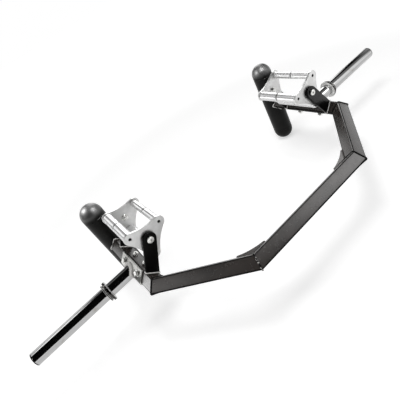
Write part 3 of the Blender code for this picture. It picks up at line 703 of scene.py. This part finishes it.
seat = TUBE_SIZE / 2 + SADDLE_THICKNESS + 2 * GAP
flange_top = seat + BOLT_FLANGE
nut_seat = -TUBE_SIZE / 2 - GAP
nut_end = nut_seat - NUT_HEIGHT
tail_profile = threaded(BOLT_RADIUS, nut_end - BOLT_TAIL, nut_end, THREAD_PITCH)
shank_profile = [
    (BOLT_RADIUS, nut_seat),
    (BOLT_RADIUS, seat),
    (BOLT_FLANGE_RADIUS, seat),
    (BOLT_FLANGE_RADIUS, flange_top - FLANGE_EDGE_HEIGHT),
    (BOLT_FLANGE_RADIUS - FLANGE_EDGE_WIDTH, flange_top),
]
for hand, side in SIDES.items():
    for end, fore_aft in ENDS.items():
        for level, offset, up in (("upper", UPPER_BOLT_OFFSET, 1), ("lower", LOWER_BOLT_OFFSET, -1)):
            node = f"{hand}_saddle_bolt_{level}_{end}"
            origin = np.array((side * ARM_X, SLEEVE_Y - SADDLE_SETBACK + fore_aft * offset, 0))
            place = (BOLT_STEPS, origin, np.array((side * SLANT, 0, up * SLANT)))
            nut = hexagon_rings(BOLT_FLATS, nut_end, nut_seat, *place, both=True)
            head = hexagon_rings(BOLT_FLATS, flange_top, flange_top + BOLT_HEAD, *place)
            rings = [turned(tail_profile, *place), nut, turned(shank_profile, *place), head]
            bolt = skin(f"zinc_{node}", np.vstack(rings), bolt_zinc)
            fit(bolt, node, "frame")

# Loading sleeves
# Each sleeve is a chromed steel tube of 50 mm, coped over the saddle's nose and
# welded to it. The chrome is polished, with faint turning lines and smudges.

SLEEVE_RADIUS = 0.025
SLEEVE_WALL = 0.005
SLEEVE_CHAMFER = 0.0012
SLEEVE_STEPS = 128
ROOT_BEAD = 0.0080
EASE = 0.3

CHROME_COLOUR = 0.43
CHROME_SMUDGE = (0.32, 0.31, 0.29)

chrome = finish_material(
    "polished_chrome",
    colour=lambda w: w.blend(w.noise(30.0, 5.0).between(0.55, 0.8), CHROME_COLOUR, CHROME_SMUDGE),
    roughness=lambda w: 0.05 + 0.10 * w.noise(25.0, 5.0),
    metallic=1.0,
    normal=lambda w: w.noise(1.0, 2.0, (1500.0, 3.0, 3.0)).bump(0.00001),
)


def root_ring(radius, side):
    """The ring where a sleeve of a radius meets the saddle: the nose's arc, then the two slanted faces."""
    outer = TUBE_SIZE / 2 + SADDLE_THICKNESS + 2 * GAP
    bend = TUBE_EDGE_RADIUS + SADDLE_THICKNESS + GAP
    ring = turned([(radius, 0.0)], SLEEVE_STEPS, (0, SLEEVE_Y, 0), (side, 0, 0))[0]
    height = np.abs(ring[:, 2])
    nose = (outer - bend) * math.sqrt(2) + np.sqrt(np.maximum(bend ** 2 - height ** 2, 0))
    face = outer * math.sqrt(2) - height
    ring[:, 0] = side * (ARM_X + np.where(height < bend * SLANT, nose, face))
    return ring


def eased(radius, place, edge, inwards):
    """Three points of a profile that round its corner: on the end face, on the slope and on the side.

    inwards is 1 or -1, the way along the axis from the end face to the side.
    """
    slope = (radius - edge * EASE, place + inwards * edge * EASE)
    return [(radius - edge, place), slope, (radius, place + inwards * edge)]


sleeve_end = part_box("right_sleeve")[1][0]
sleeve_bore = SLEEVE_RADIUS - SLEEVE_WALL
end_profile = eased(SLEEVE_RADIUS, sleeve_end, SLEEVE_CHAMFER, -1)[::-1] + [(sleeve_bore, sleeve_end)]
sleeve_places = {hand: (SLEEVE_STEPS, (0, SLEEVE_Y, 0), (side, 0, 0)) for hand, side in SIDES.items()}
for hand, side in SIDES.items():
    outer_root = root_ring(SLEEVE_RADIUS, side)
    inner_root = root_ring(sleeve_bore, side)
    rings = np.vstack([outer_root[None], turned(end_profile, *sleeve_places[hand]), inner_root[None]])
    node = f"{hand}_sleeve"
    sleeve = skin(f"chromed_{node}", rings, chrome, joined=True)
    fit(sleeve, node, "frame")
    weld_bead(f"{hand}_sleeve_weld", outer_root, ROOT_BEAD, weld_steel)

# Collars
# A turned collar on each sleeve stops the plates: a flange, a groove and a
# smaller ring. It is satin chrome, with painted shade as a dark chrome on its
# turned sides where they face down or to the bar's closed end.

COLLAR_RADIUS = 0.039
RING_RADIUS = 0.034
GROOVE_DEPTH = 0.003
RING_WIDTH = 0.005
GROOVE_WIDTH = 0.004
COLLAR_EDGE = 0.0015
SIDE_TILT = 0.5
DARK_BEHIND = 0.3
COLLAR_CHROME = (0.92, 0.92, 0.91)
RIM_DARK = (0.035, 0.034, 0.033)
RIM_LIGHT = (0.060, 0.058, 0.055)

satin_chrome = finish_material(
    "satin_collar_chrome",
    colour=lambda w: w.blend(w.noise(30.0, 5.0).between(0.55, 0.8), COLLAR_CHROME, CHROME_COLOUR),
    roughness=lambda w: 0.28 + 0.12 * w.noise(25.0, 5.0),
    metallic=0.15,
)
# Painted shade: a dark chrome for the collar's sides that face down or to the closed end.
shaded_rim = finish_material(
    "dark_collar_rim",
    colour=lambda w: w.blend(w.noise(60.0), RIM_DARK, RIM_LIGHT),
    roughness=lambda w: 0.08 + 0.12 * w.noise(25.0, 5.0),
    metallic=1.0,
)

inner_x, outer_x = [corner[0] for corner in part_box("right_collar")]
ring_x = outer_x - RING_WIDTH
groove_x = ring_x - GROOVE_WIDTH
ring_edge = COLLAR_EDGE / 2
collar_profile = [
    (SLEEVE_RADIUS + GAP, inner_x),
    *eased(COLLAR_RADIUS, inner_x, COLLAR_EDGE, 1),
    *eased(COLLAR_RADIUS, groove_x, COLLAR_EDGE, -1)[::-1],
    (RING_RADIUS - GROOVE_DEPTH, groove_x),
    (RING_RADIUS - GROOVE_DEPTH, ring_x),
    (RING_RADIUS - ring_edge, ring_x),
    (RING_RADIUS, ring_x + ring_edge),
    (RING_RADIUS, outer_x - ring_edge),
    (RING_RADIUS - ring_edge, outer_x),
    (SLEEVE_RADIUS + GAP, outer_x),
]


def shaded_side(normals):
    """A test for the collar's turned sides given painted shade: where they face down or to the closed end of
    the bar.
    """
    return (abs(normals[:, 0]) < SIDE_TILT) & (normals[:, 1] < DARK_BEHIND)


for hand in SIDES:
    node = f"{hand}_collar"
    rings = turned(collar_profile, *sleeve_places[hand])
    collar = skin(f"chromed_{node}", rings, satin_chrome, joined=True)
    second_finish(collar, shaded_rim, shaded_side)
    fit(collar, node, "frame")

# Sleeve plugs
# A moulded black plug closes the open end of each sleeve. Its rim covers the
# tube's wall, and its face is slightly dished.

PLUG_EDGE = 0.0015
PLUG_DISH = 0.0006

plug_plastic = finish_material(
    "black_plug_plastic",
    colour=lambda w: w.blend(w.noise(60.0), 0.010, (0.022, 0.022, 0.021)),
    roughness=lambda w: 0.38 + 0.15 * w.noise(120.0),
    normal=lambda w: w.noise(1600.0).bump(0.00005),
)

plug_back, plug_end = [corner[0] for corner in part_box("right_sleeve_plug")]
rim_back = sleeve_end + GAP
plug_profile = [
    (sleeve_bore - GAP, plug_back),
    (sleeve_bore - GAP, rim_back),
    (SLEEVE_RADIUS, rim_back),
    (SLEEVE_RADIUS - PLUG_EDGE * EASE, plug_end - PLUG_EDGE * (1 - EASE)),
    (SLEEVE_RADIUS - PLUG_EDGE, plug_end),
    (SLEEVE_RADIUS - 2 * PLUG_EDGE, plug_end),
    (SLEEVE_RADIUS - 3 * PLUG_EDGE, plug_end - PLUG_DISH),
]
for hand in SIDES:
    node = f"{hand}_sleeve_plug"
    plug = skin(f"moulded_{node}", turned(plug_profile, *sleeve_places[hand]), plug_plastic)
    fit(plug, node, "frame")

# Star plates
# Each head turns on two three-lobed plates, cut from 8 mm aluminium with their
# edges chamfered and tumbled to a light satin. A lobe holds one grip's screw,
# and the middle holds the bush.

LOBE_RADIUS = 0.064
LOBE_TIP_RADIUS = 0.021
PLATE_WAIST = 0.046
PLATE_CHAMFER = 0.0007
PLATE_INNER = 0.100
PLATE_OUTER = 0.108
SCREW_HOLE = 0.0055
BUSH_HOLE = 0.0088
HEAD_ENDS = [(hand, end, facing) for hand in SIDES for end, facing in ENDS.items()]

ALUMINIUM_DARK = (0.52, 0.52, 0.515)
ALUMINIUM_LIGHT = (0.84, 0.84, 0.835)

aluminium = finish_material(
    "satin_aluminium",
    colour=lambda w: w.blend(w.noise(45.0, 5.0), ALUMINIUM_DARK, ALUMINIUM_LIGHT),
    roughness=lambda w: 0.34 + 0.14 * w.noise(200.0),
    metallic=1.0,
    normal=lambda w: w.noise(1200.0, 3.0).bump(0.00005),
)


def star_outline(inset, tip_steps=20, hollow_steps=14):
    """Three round tips joined by hollows that touch them, drawn in by an inset.

    A hollow's centre lies halfway between two lobes. Its radius h solves
    (waist + h)^2 + lobe^2 - 2 (waist + h) lobe cos 60 = (tip + h)^2, so that it
    touches both tips and comes as near the axis as the waist.
    """
    half_step = math.pi / 3
    spread = 2 * LOBE_RADIUS * math.cos(half_step)
    top = PLATE_WAIST ** 2 + LOBE_RADIUS ** 2 - PLATE_WAIST * spread - LOBE_TIP_RADIUS ** 2
    hollow = top / (2 * LOBE_TIP_RADIUS + spread - 2 * PLATE_WAIST)
    reach = PLATE_WAIST + hollow
    tip_turn = math.atan2(reach * math.sin(half_step), reach * math.cos(half_step) - LOBE_RADIUS)
    half_sweep = math.atan2(LOBE_RADIUS * math.sin(half_step), reach - LOBE_RADIUS * math.cos(half_step))
    facing = np.arange(3)[:, None] * 2 * half_step
    tip_angle = facing + np.linspace(-tip_turn, tip_turn, tip_steps + 1)
    between = facing + half_step
    hollow_angle = between + math.pi + np.linspace(half_sweep, -half_sweep, hollow_steps + 1)[1:-1]
    tip_radius = LOBE_TIP_RADIUS - inset
    hollow_radius = hollow + inset
    tips = LOBE_RADIUS * turn_pair(facing) + tip_radius * turn_pair(tip_angle)
    hollows = reach * turn_pair(between) + hollow_radius * turn_pair(hollow_angle)
    return np.concatenate([tips, hollows], axis=1).reshape(-1, 2)


def hole_outline(centre, radius, steps=32):
    """A round hole's outline, run the other way from the plate's own."""
    return centre + radius * turn_pair(-all_round(steps))


def star_plate(name, pivot, turn, facing):
    """A star plate with its holes: chamfered walls round each outline, and two flat faces between them."""
    lobes = LOBE_RADIUS * turn_pair(all_round(3))
    levels = [PLATE_INNER, PLATE_INNER + PLATE_CHAMFER, PLATE_OUTER - PLATE_CHAMFER, PLATE_OUTER]
    insets = [PLATE_CHAMFER, 0, 0, PLATE_CHAMFER]
    holes = [(np.zeros(2), BUSH_HOLE)] + [(lobe, SCREW_HOLE) for lobe in lobes]
    outlines = [[star_outline(inset)] + [hole_outline(place, radius + inset) for place, radius in holes]
                for inset in insets]
    sizes = [len(outline) for outline in outlines[0]]
    starts = np.cumsum([0] + sizes[:-1])
    per_level = sum(sizes)
    up = np.arange(len(levels) - 1)[:, None, None] * per_level
    faces = []
    for start, size in zip(starts, sizes):
        ring = start + np.arange(size)
        after = np.roll(ring, -1)
        walls = np.stack([ring, after, after + per_level, ring + per_level], axis=1)
        faces += (walls + up).reshape(-1, 4).tolist()
    flat = np.array(tessellate_polygon([[Vector((x, z, 0)) for x, z in outline] for outline in outlines[0]]))
    corners = np.vstack(outlines[0])[flat]
    if np.linalg.det(corners[:, 1:] - corners[:, :1]).sum() > 0:
        flat = flat[:, ::-1]
    faces += flat.tolist() + (flat[:, ::-1] + 3 * per_level).tolist()
    flat_points = np.vstack([np.vstack(group) for group in outlines])
    vertices = np.empty((len(flat_points), 3))
    vertices[:, ::2] = pivot[::2] + flat_points @ np.array([turn_pair(turn), turn_pair(turn + math.pi / 2)])
    vertices[:, 1] = pivot[1] + facing * np.repeat(levels, per_level)
    return mesh_object(name, vertices, faces, aluminium)


for hand, end, facing in HEAD_ENDS:
    node = f"{hand}_{end}_star_plate"
    # A head is turned about Y by the direction of its thin grip from its axis
    reach = middle(f"{hand}_thin_grip") - heads[hand]
    plate = star_plate(f"satin_{node}", heads[hand], math.atan2(reach[2], reach[0]), facing)
    fit(plate, node, f"{hand}_head")

# Bushes
# A flanged bronze bush is pressed into each plate from outside and turns on the
# pivot bolt. Only its flange shows, between plate and upright.

BUSH_RADIUS = 0.0084
BUSH_BORE = 0.0064
BUSH_FLANGE = 0.0128
BUSH_FLANGE_HEIGHT = 0.0015
BUSH_STEPS = 64

bronze = finish_material(
    "oiled_bronze",
    colour=lambda w: w.blend(w.noise(90.0), (0.36, 0.22, 0.10), (0.56, 0.38, 0.20)),
    roughness=lambda w: 0.28 + 0.2 * w.noise(150.0),
    metallic=1.0,
)

flange_back = PLATE_OUTER + GAP
flange_face = flange_back + BUSH_FLANGE_HEIGHT
bush_profile = [
    (BUSH_BORE, PLATE_INNER),
    (BUSH_RADIUS, PLATE_INNER),
    (BUSH_RADIUS, flange_back),
    (BUSH_FLANGE, flange_back),
    (BUSH_FLANGE, flange_face),
    (BUSH_BORE, flange_face),
]
for hand, end, facing in HEAD_ENDS:
    node = f"{hand}_{end}_pivot_bush"
    rings = turned(bush_profile, BUSH_STEPS, heads[hand], (0, facing, 0))
    bush = skin(f"bronze_{node}", rings, bronze, joined=True)
    fit(bush, node, f"{hand}_head")

# Pivot bolts
# A socket-head bolt through each upright carries the plate's bush, with a wide
# low head whose edge is rounded and a hexagon socket in its middle.

PIVOT_RADIUS = 0.006
PIVOT_HEAD_RADIUS = 0.012
PIVOT_HEAD_HEIGHT = 0.0065
SOCKET_RADIUS = 0.004
SOCKET_DEPTH = 0.004
SOCKET_MOUTH = 0.0012
HEAD_ROUNDING = 0.002
ROUNDING_POINTS = 6
PIVOT_THREAD_PITCH = 0.00175
PIVOT_TAIL = 0.002
PIVOT_NUT_HEIGHT = 0.010

upright_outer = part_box("left_front_upright")[1][1] - heads["left"][1]
bolt_seat = upright_outer + GAP
bolt_top = bolt_seat + PIVOT_HEAD_HEIGHT
nut_outer = PLATE_INNER - GAP
nut_inner = nut_outer - PIVOT_NUT_HEIGHT
curve = np.linspace(0, math.pi / 2, ROUNDING_POINTS)
rounding = np.array([PIVOT_HEAD_RADIUS, bolt_top]) - HEAD_ROUNDING * (1 - turn_pair(curve))
bolt_profile = np.vstack([
    threaded(PIVOT_RADIUS, nut_inner - PIVOT_TAIL, nut_inner, PIVOT_THREAD_PITCH),
    [(PIVOT_RADIUS, nut_inner), (PIVOT_RADIUS, bolt_seat), (PIVOT_HEAD_RADIUS, bolt_seat)],
    rounding,
    [(SOCKET_RADIUS + SOCKET_MOUTH, bolt_top)],
])
socket_reach = hexagon(2 * SOCKET_RADIUS, all_round(BOLT_STEPS))[:, None]
socket_levels = np.array([bolt_top, bolt_top - SOCKET_DEPTH])[:, None, None]
for hand, end, facing in HEAD_ENDS:
    node = f"{hand}_{end}_pivot_bolt"
    axis = np.array((0, facing, 0))
    spokes = turned([(1.0, 0.0)], BOLT_STEPS, (0, 0, 0), axis)[0]
    socket = heads[hand] + socket_reach * spokes + socket_levels * axis
    body = turned(bolt_profile, BOLT_STEPS, heads[hand], axis)
    bolt = skin(f"zinc_{node}", np.vstack([body, socket]), bolt_zinc)
    fit(bolt, node, "frame")

# Pivot nuts
# A flanged hexagon nut inside the head holds each plate on its bolt, zinc
# plated like the bolt.

NUT_FLATS = 0.019
NUT_FLANGE = 0.0125
NUT_FLANGE_EDGE = 0.001
NUT_FLANGE_HEIGHT = 0.0025
NUT_NECK = 0.56 * NUT_FLATS
NUT_MOUTH = 0.0012
NUT_MOUTH_DEPTH = 0.001

nut_flange_top = nut_outer - NUT_FLANGE_HEIGHT
nut_profile = [
    (PIVOT_RADIUS + GAP, nut_outer),
    (NUT_FLANGE, nut_outer),
    (NUT_FLANGE, nut_outer - NUT_FLANGE_EDGE),
    (NUT_NECK, nut_flange_top),
]
mouth_profile = [(PIVOT_RADIUS + NUT_MOUTH, nut_inner), (PIVOT_RADIUS + GAP, nut_inner + NUT_MOUTH_DEPTH)]
for hand, end, facing in HEAD_ENDS:
    node = f"{hand}_{end}_pivot_nut"
    place = (BOLT_STEPS, heads[hand], (0, facing, 0))
    hexagon_part = hexagon_rings(NUT_FLATS, nut_flange_top, nut_inner, *place)
    rings = np.vstack([turned(nut_profile, *place), hexagon_part, turned(mouth_profile, *place)])
    nut = skin(f"zinc_{node}", rings, bolt_zinc, joined=True)
    fit(nut, node, "frame")

# Grips
# Each head has three hand grips of different thickness, bolted between its
# plates. They are chromed steel with a fine diamond knurl that stops short of
# the ends and at a narrow turned ring in the middle. The ring is sunk, and its
# dark steel is painted shade.

GRIPS = {"thin": 0.028, "medium": 0.038, "thick": 0.050}
GRIP_LENGTH = 0.200
KNURL_PITCH = 0.0017
KNURL_DEPTH = 0.0003
GRIP_SHOULDER = 0.003
GRIP_CHAMFER = 0.001
RING_HALF = 0.0028
RING_DEPTH = 0.0018

knurled_chrome = finish_material(
    "knurled_chrome",
    colour=lambda w: w.blend(w.noise(40.0, 4.0), 0.76, 0.92),
    roughness=lambda w: 0.20 + 0.10 * w.noise(90.0),
    metallic=0.65,
)
# Painted shade: a dark steel for the sunk ring in each grip's middle.
groove_shade_steel = finish_material(
    "turned_ring_steel",
    colour=lambda w: w.blend(w.noise(90.0), 0.10, (0.22, 0.22, 0.21)),
    roughness=lambda w: 0.30 + 0.10 * w.noise(90.0),
    metallic=1.0,
)


def knurled_grip(name, centre, diameter):
    """A grip along Y whose knurl is a grid of points, every other one sunk.

    Rows run round the grip and columns along it at half the knurl's pitch. Each
    square is split along the sunk corners, so the grooves run as two crossing
    helices and leave a square pyramid between them.
    """
    radius = diameter / 2
    half = GRIP_LENGTH / 2 - GAP
    columns = 2 * round(math.pi * diameter / KNURL_PITCH)
    rows = 2 * round((half - GRIP_SHOULDER - RING_HALF) / KNURL_PITCH) + 1
    knurl_places = np.linspace(RING_HALF + RING_DEPTH, half - GRIP_SHOULDER, rows)
    sunk = KNURL_DEPTH * ((np.arange(rows)[:, None] + np.arange(columns)) % 2)
    plain = np.array([RING_DEPTH, RING_DEPTH, KNURL_DEPTH / 2, KNURL_DEPTH / 2, GRIP_CHAMFER])
    plain = np.repeat(plain[:, None], columns, axis=1)
    places = np.r_[0.0, RING_HALF, knurl_places, half - GRIP_SHOULDER, half - GRIP_CHAMFER, half]
    reach = radius - np.vstack([plain[:2], sunk, plain[2:]])
    places = np.r_[-places[:0:-1], places]
    reach = np.vstack([reach[:0:-1], reach])
    vertices = np.empty((*reach.shape, 3))
    vertices[..., ::2] = centre[::2] + reach[..., None] * turn_pair(all_round(columns))
    vertices[..., 1] = centre[1] + places[:, None]
    index = np.arange(reach.size).reshape(reach.shape)
    after = np.roll(index, -1, axis=1)
    first, second, third, fourth = index[:-1], after[:-1], after[1:], index[1:]
    beside = np.roll(reach, -1, axis=1)
    along_first = reach[:-1] + beside[1:] <= beside[:-1] + reach[1:]
    one = np.stack([first, second, np.where(along_first, third, fourth)], axis=-1)
    two = np.stack([np.where(along_first, first, second), third, fourth], axis=-1)
    faces = np.stack([one, two]).reshape(-1, 3).tolist()
    faces += [index[0, ::-1].tolist(), index[-1].tolist()]
    return mesh_object(name, vertices.reshape(-1, 3), faces, knurled_chrome, sharp=60.0)


for hand in SIDES:
    for thickness, diameter in GRIPS.items():
        node = f"{hand}_{thickness}_grip"
        centre = middle(node)
        grip = knurled_grip(f"knurled_{node}", centre, diameter)
        # The middle ring's faces get the painted shade.
        second_finish(grip, groove_shade_steel, lambda places: abs(places[:, 1] - centre[1]) < RING_HALF, "center")
        fit(grip, node, f"{hand}_head")

# Grip screws
# A black socket-head screw sits below the face of each lobe and holds the end
# of a grip.

SCREW_HEAD = 0.00525
SCREW_SOCKET = 0.0026
SCREW_SUNK = 0.0015
SCREW_HEAD_HEIGHT = 0.005
SCREW_EDGE = 0.0006
SOCKET_EDGE_WIDTH = 0.0005
SOCKET_EDGE_HEIGHT = 0.0004
SCREW_SOCKET_DEPTH = 0.003
SCREW_STEPS = 36

black_oxide = finish_material(
    "black_oxide_screw",
    colour=lambda w: w.blend(w.noise(200.0), 0.010, (0.024, 0.023, 0.022)),
    roughness=0.35,
    metallic=0.6,
)

screw_top = PLATE_OUTER - SCREW_SUNK
screw_profile = [
    (SCREW_HEAD, screw_top - SCREW_HEAD_HEIGHT),
    (SCREW_HEAD, screw_top - SCREW_EDGE),
    (SCREW_HEAD - SCREW_EDGE, screw_top),
    (SCREW_SOCKET + SOCKET_EDGE_WIDTH, screw_top),
    (SCREW_SOCKET, screw_top - SOCKET_EDGE_HEIGHT),
    (SCREW_SOCKET, screw_top - SCREW_SOCKET_DEPTH),
]
for hand in SIDES:
    for thickness in GRIPS:
        grip_name = f"{hand}_{thickness}"
        for end, facing in ENDS.items():
            rings = turned(screw_profile, SCREW_STEPS, middle(f"{grip_name}_grip"), (0, facing, 0))
            screw = skin(f"{grip_name}_{end}_grip_screw", rings, black_oxide)
            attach(screw, f"{hand}_head")

# Studio
# A wide white floor under three soft lamps: overhead, on the left and, weaker,
# behind. Gloss sees the white floor, a dark ceiling with soft panels, and lamps
# of its own for the black steel, the near bend, the domes and the collars.

CEILING = 0.002
WORLD_LIGHT = 0.42
# A panel's direction, the degrees from it where it starts to fade and ends, and its strength
PANELS = [
    ((-0.72, 0.69, 0.04), 5, 10, 4.0),
    ((-0.86, -0.08, 0.50), 4, 14, 2.5),
    ((-0.43, 0.52, 0.74), 6, 13, 2.2),
    ((-0.08, 0.59, 0.80), 4, 12, 0.30),
    ((0.98, 0.18, 0.05), 10, 25, 0.9),
    ((0.20, 0.97, 0.05), 8, 22, 0.9),
    ((0.75, -0.65, 0.15), 10, 30, 1.4),
    ((0.69, -0.35, 0.63), 18, 34, 0.28),
    ((0.57, -0.62, 0.54), 5, 16, 5.0),
    ((0.45, 0.50, 0.74), 8, 16, 4.0),
    ((0.50, 0.78, 0.36), 10, 22, 4.0),
    ((-0.35, 0.87, 0.35), 6, 16, 1.5),
]
FLOOR_SIZE = 40.0
FLOOR_DROP = 0.001
FLOOR_ALBEDO = 0.80
FLOOR_LIFT = 0.50
FLOOR_FADE = (1.4, 2.6)
HORIZON = (-0.03, 0.02)


def background_rays(wire):
    """The rays that show the background: camera, glossy and transmission rays, each 1 or 0."""
    path = wire.tree.nodes.new("ShaderNodeLightPath")
    rays = ("Is Camera Ray", "Is Glossy Ray", "Is Transmission Ray")
    return [Wire(wire.tree, path.outputs[name]) for name in rays]


# White to the camera, plain soft light to matt surfaces, a dark ceiling with panels to gloss
world = bpy.data.worlds.new("studio")
bpy.context.scene.world = world
world.use_nodes = True
background = world.node_tree.nodes["Background"]
wire = Wire(world.node_tree)
direction = wire.node("ShaderNodeTexCoord", {}, out=0)
height = wire.node("ShaderNodeSeparateXYZ", {0: direction}, out=2)
glow = CEILING + (1.0 - CEILING) * (1.0 - height.between(*HORIZON))
for centre, inner, outer, strength in PANELS:
    sockets = {0: direction, 1: unit(centre).tolist()}
    facing = wire.node("ShaderNodeVectorMath", sockets, {"operation": "DOT_PRODUCT"}, out=1)
    glow = glow + strength * facing.between(math.cos(math.radians(outer)), math.cos(math.radians(inner)))
camera_ray, glossy_ray, clear_ray = background_rays(wire)
matt_ray = 1.0 - camera_ray - glossy_ray - clear_ray
strength = camera_ray + glow * (glossy_ray + clear_ray) + WORLD_LIGHT * matt_ray
background.inputs["Color"].default_value = (1, 1, 1, 1)
world.node_tree.links.new(strength.socket, background.inputs["Strength"])

# The floor just under the stands, lifted to white where the background shows
floor_white = bpy.data.materials.new("white_floor")
floor_white.use_nodes = True
floor_white.node_tree.nodes.clear()
wire = Wire(floor_white.node_tree)
camera_ray, glossy_ray, clear_ray = background_rays(wire)
place = wire.node("ShaderNodeTexCoord", {}, out=3)
reach = wire.node("ShaderNodeVectorMath", {0: place}, {"operation": "LENGTH"}, out=1)
lift = FLOOR_LIFT + (1.0 - FLOOR_LIFT) * reach.between(*FLOOR_FADE)
diffuse = wire.node("ShaderNodeBsdfDiffuse", {0: (FLOOR_ALBEDO, FLOOR_ALBEDO, FLOOR_ALBEDO, 1)})
glow = wire.node("ShaderNodeEmission", {1: lift * (camera_ray + glossy_ray + clear_ray)})
both = wire.node("ShaderNodeAddShader", {0: diffuse, 1: glow})
wire.node("ShaderNodeOutputMaterial", {0: both})
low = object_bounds()[0][2] - FLOOR_DROP
corners = FLOOR_SIZE / 2 * np.array([(-1, -1, 0), (1, -1, 0), (1, 1, 0), (-1, 1, 0)]) + (0, 0, low)
mesh_object("floor", corners, [(0, 1, 2, 3)], floor_white)


def add_lamp(name, place, size, radiance, endings=()):
    """Add a square lamp that faces the middle of the bar. Its power is radiance times pi times its area.

    With endings, it shines only in the gloss of the pieces whose names end so.
    """
    light = bpy.data.lights.new(name, "AREA")
    light.energy = radiance * math.pi * size ** 2
    light.size = size
    lamp = bpy.data.objects.new(name, light)
    bpy.context.scene.collection.objects.link(lamp)
    lamp.location = place
    lamp.rotation_euler = Vector(place).to_track_quat("Z", "Y").to_euler()
    lamp.visible_camera = False
    lamp.visible_diffuse = not endings
    lamp.visible_glossy = bool(endings)
    if endings:
        lit = bpy.data.collections.new(f"{name}_pieces")
        for piece in bpy.data.objects:
            if piece.name.endswith(endings):
                lit.objects.link(piece)
        lamp.light_linking.receiver_collection = lit


BLACK_STEEL = ("tube", "upright")

add_lamp("overhead_softbox", (0.15, -0.05, 1.75), 0.60, 9.0)
add_lamp("left_softbox", (-1.30, 0.40, 1.25), 0.45, 7.0)
add_lamp("rear_fill", (-0.40, -2.60, 1.40), 1.60, 1.0)
add_lamp("left_highlight", (-1.60, 1.20, 2.50), 0.80, 60.0, BLACK_STEEL)
add_lamp("right_highlight", (1.50, -0.04, 2.41), 0.60, 40.0, BLACK_STEEL)
add_lamp("rear_highlight", (0.42, -0.92, 2.38), 0.60, 130.0, BLACK_STEEL)
add_lamp("bend_highlight", (-0.575, 0.0, 0.0), 0.09, 4.0, ("left_arm_tube",))
add_lamp("left_dome_highlight", (-1.20, 0.91, 1.47), 0.62, 44.0, ("stand_upper_cap",))
add_lamp("right_dome_highlight", (0.52, -0.22, 1.24), 0.44, 46.0, ("stand_upper_cap",))
add_lamp("right_upright_highlight", (0.76, -0.34, -0.16), 0.20, 6.0, ("right_rear_upright",))
add_lamp("left_collar_highlight", (-0.78, 0.62, 1.07), 0.50, 4.0, ("collar",))
add_lamp("right_collar_highlight", (0.40, -0.10, 0.45), 0.30, 14.0, ("right_collar",))

# Camera
# It stands left of the bar and behind its closed side, and looks down and
# across it.

CAMERA_PLACE = (-0.5222, -1.0375, 0.8074)
CAMERA_TURN = (53.288, 25.741, -38.078)
CAMERA_LENS = 32.43
CAMERA_SHIFT = (-0.01834, -0.03360)
SENSOR_WIDTH = 36.0

view = bpy.data.cameras.new("camera")
view.lens = CAMERA_LENS
view.sensor_width = SENSOR_WIDTH
view.shift_x, view.shift_y = CAMERA_SHIFT
camera = bpy.data.objects.new("camera", view)
bpy.context.scene.collection.objects.link(camera)
camera.location = CAMERA_PLACE
camera.rotation_euler = [math.radians(turn) for turn in CAMERA_TURN]
bpy.context.scene.camera = camera
bpy.context.scene.view_settings.view_transform = "Standard"
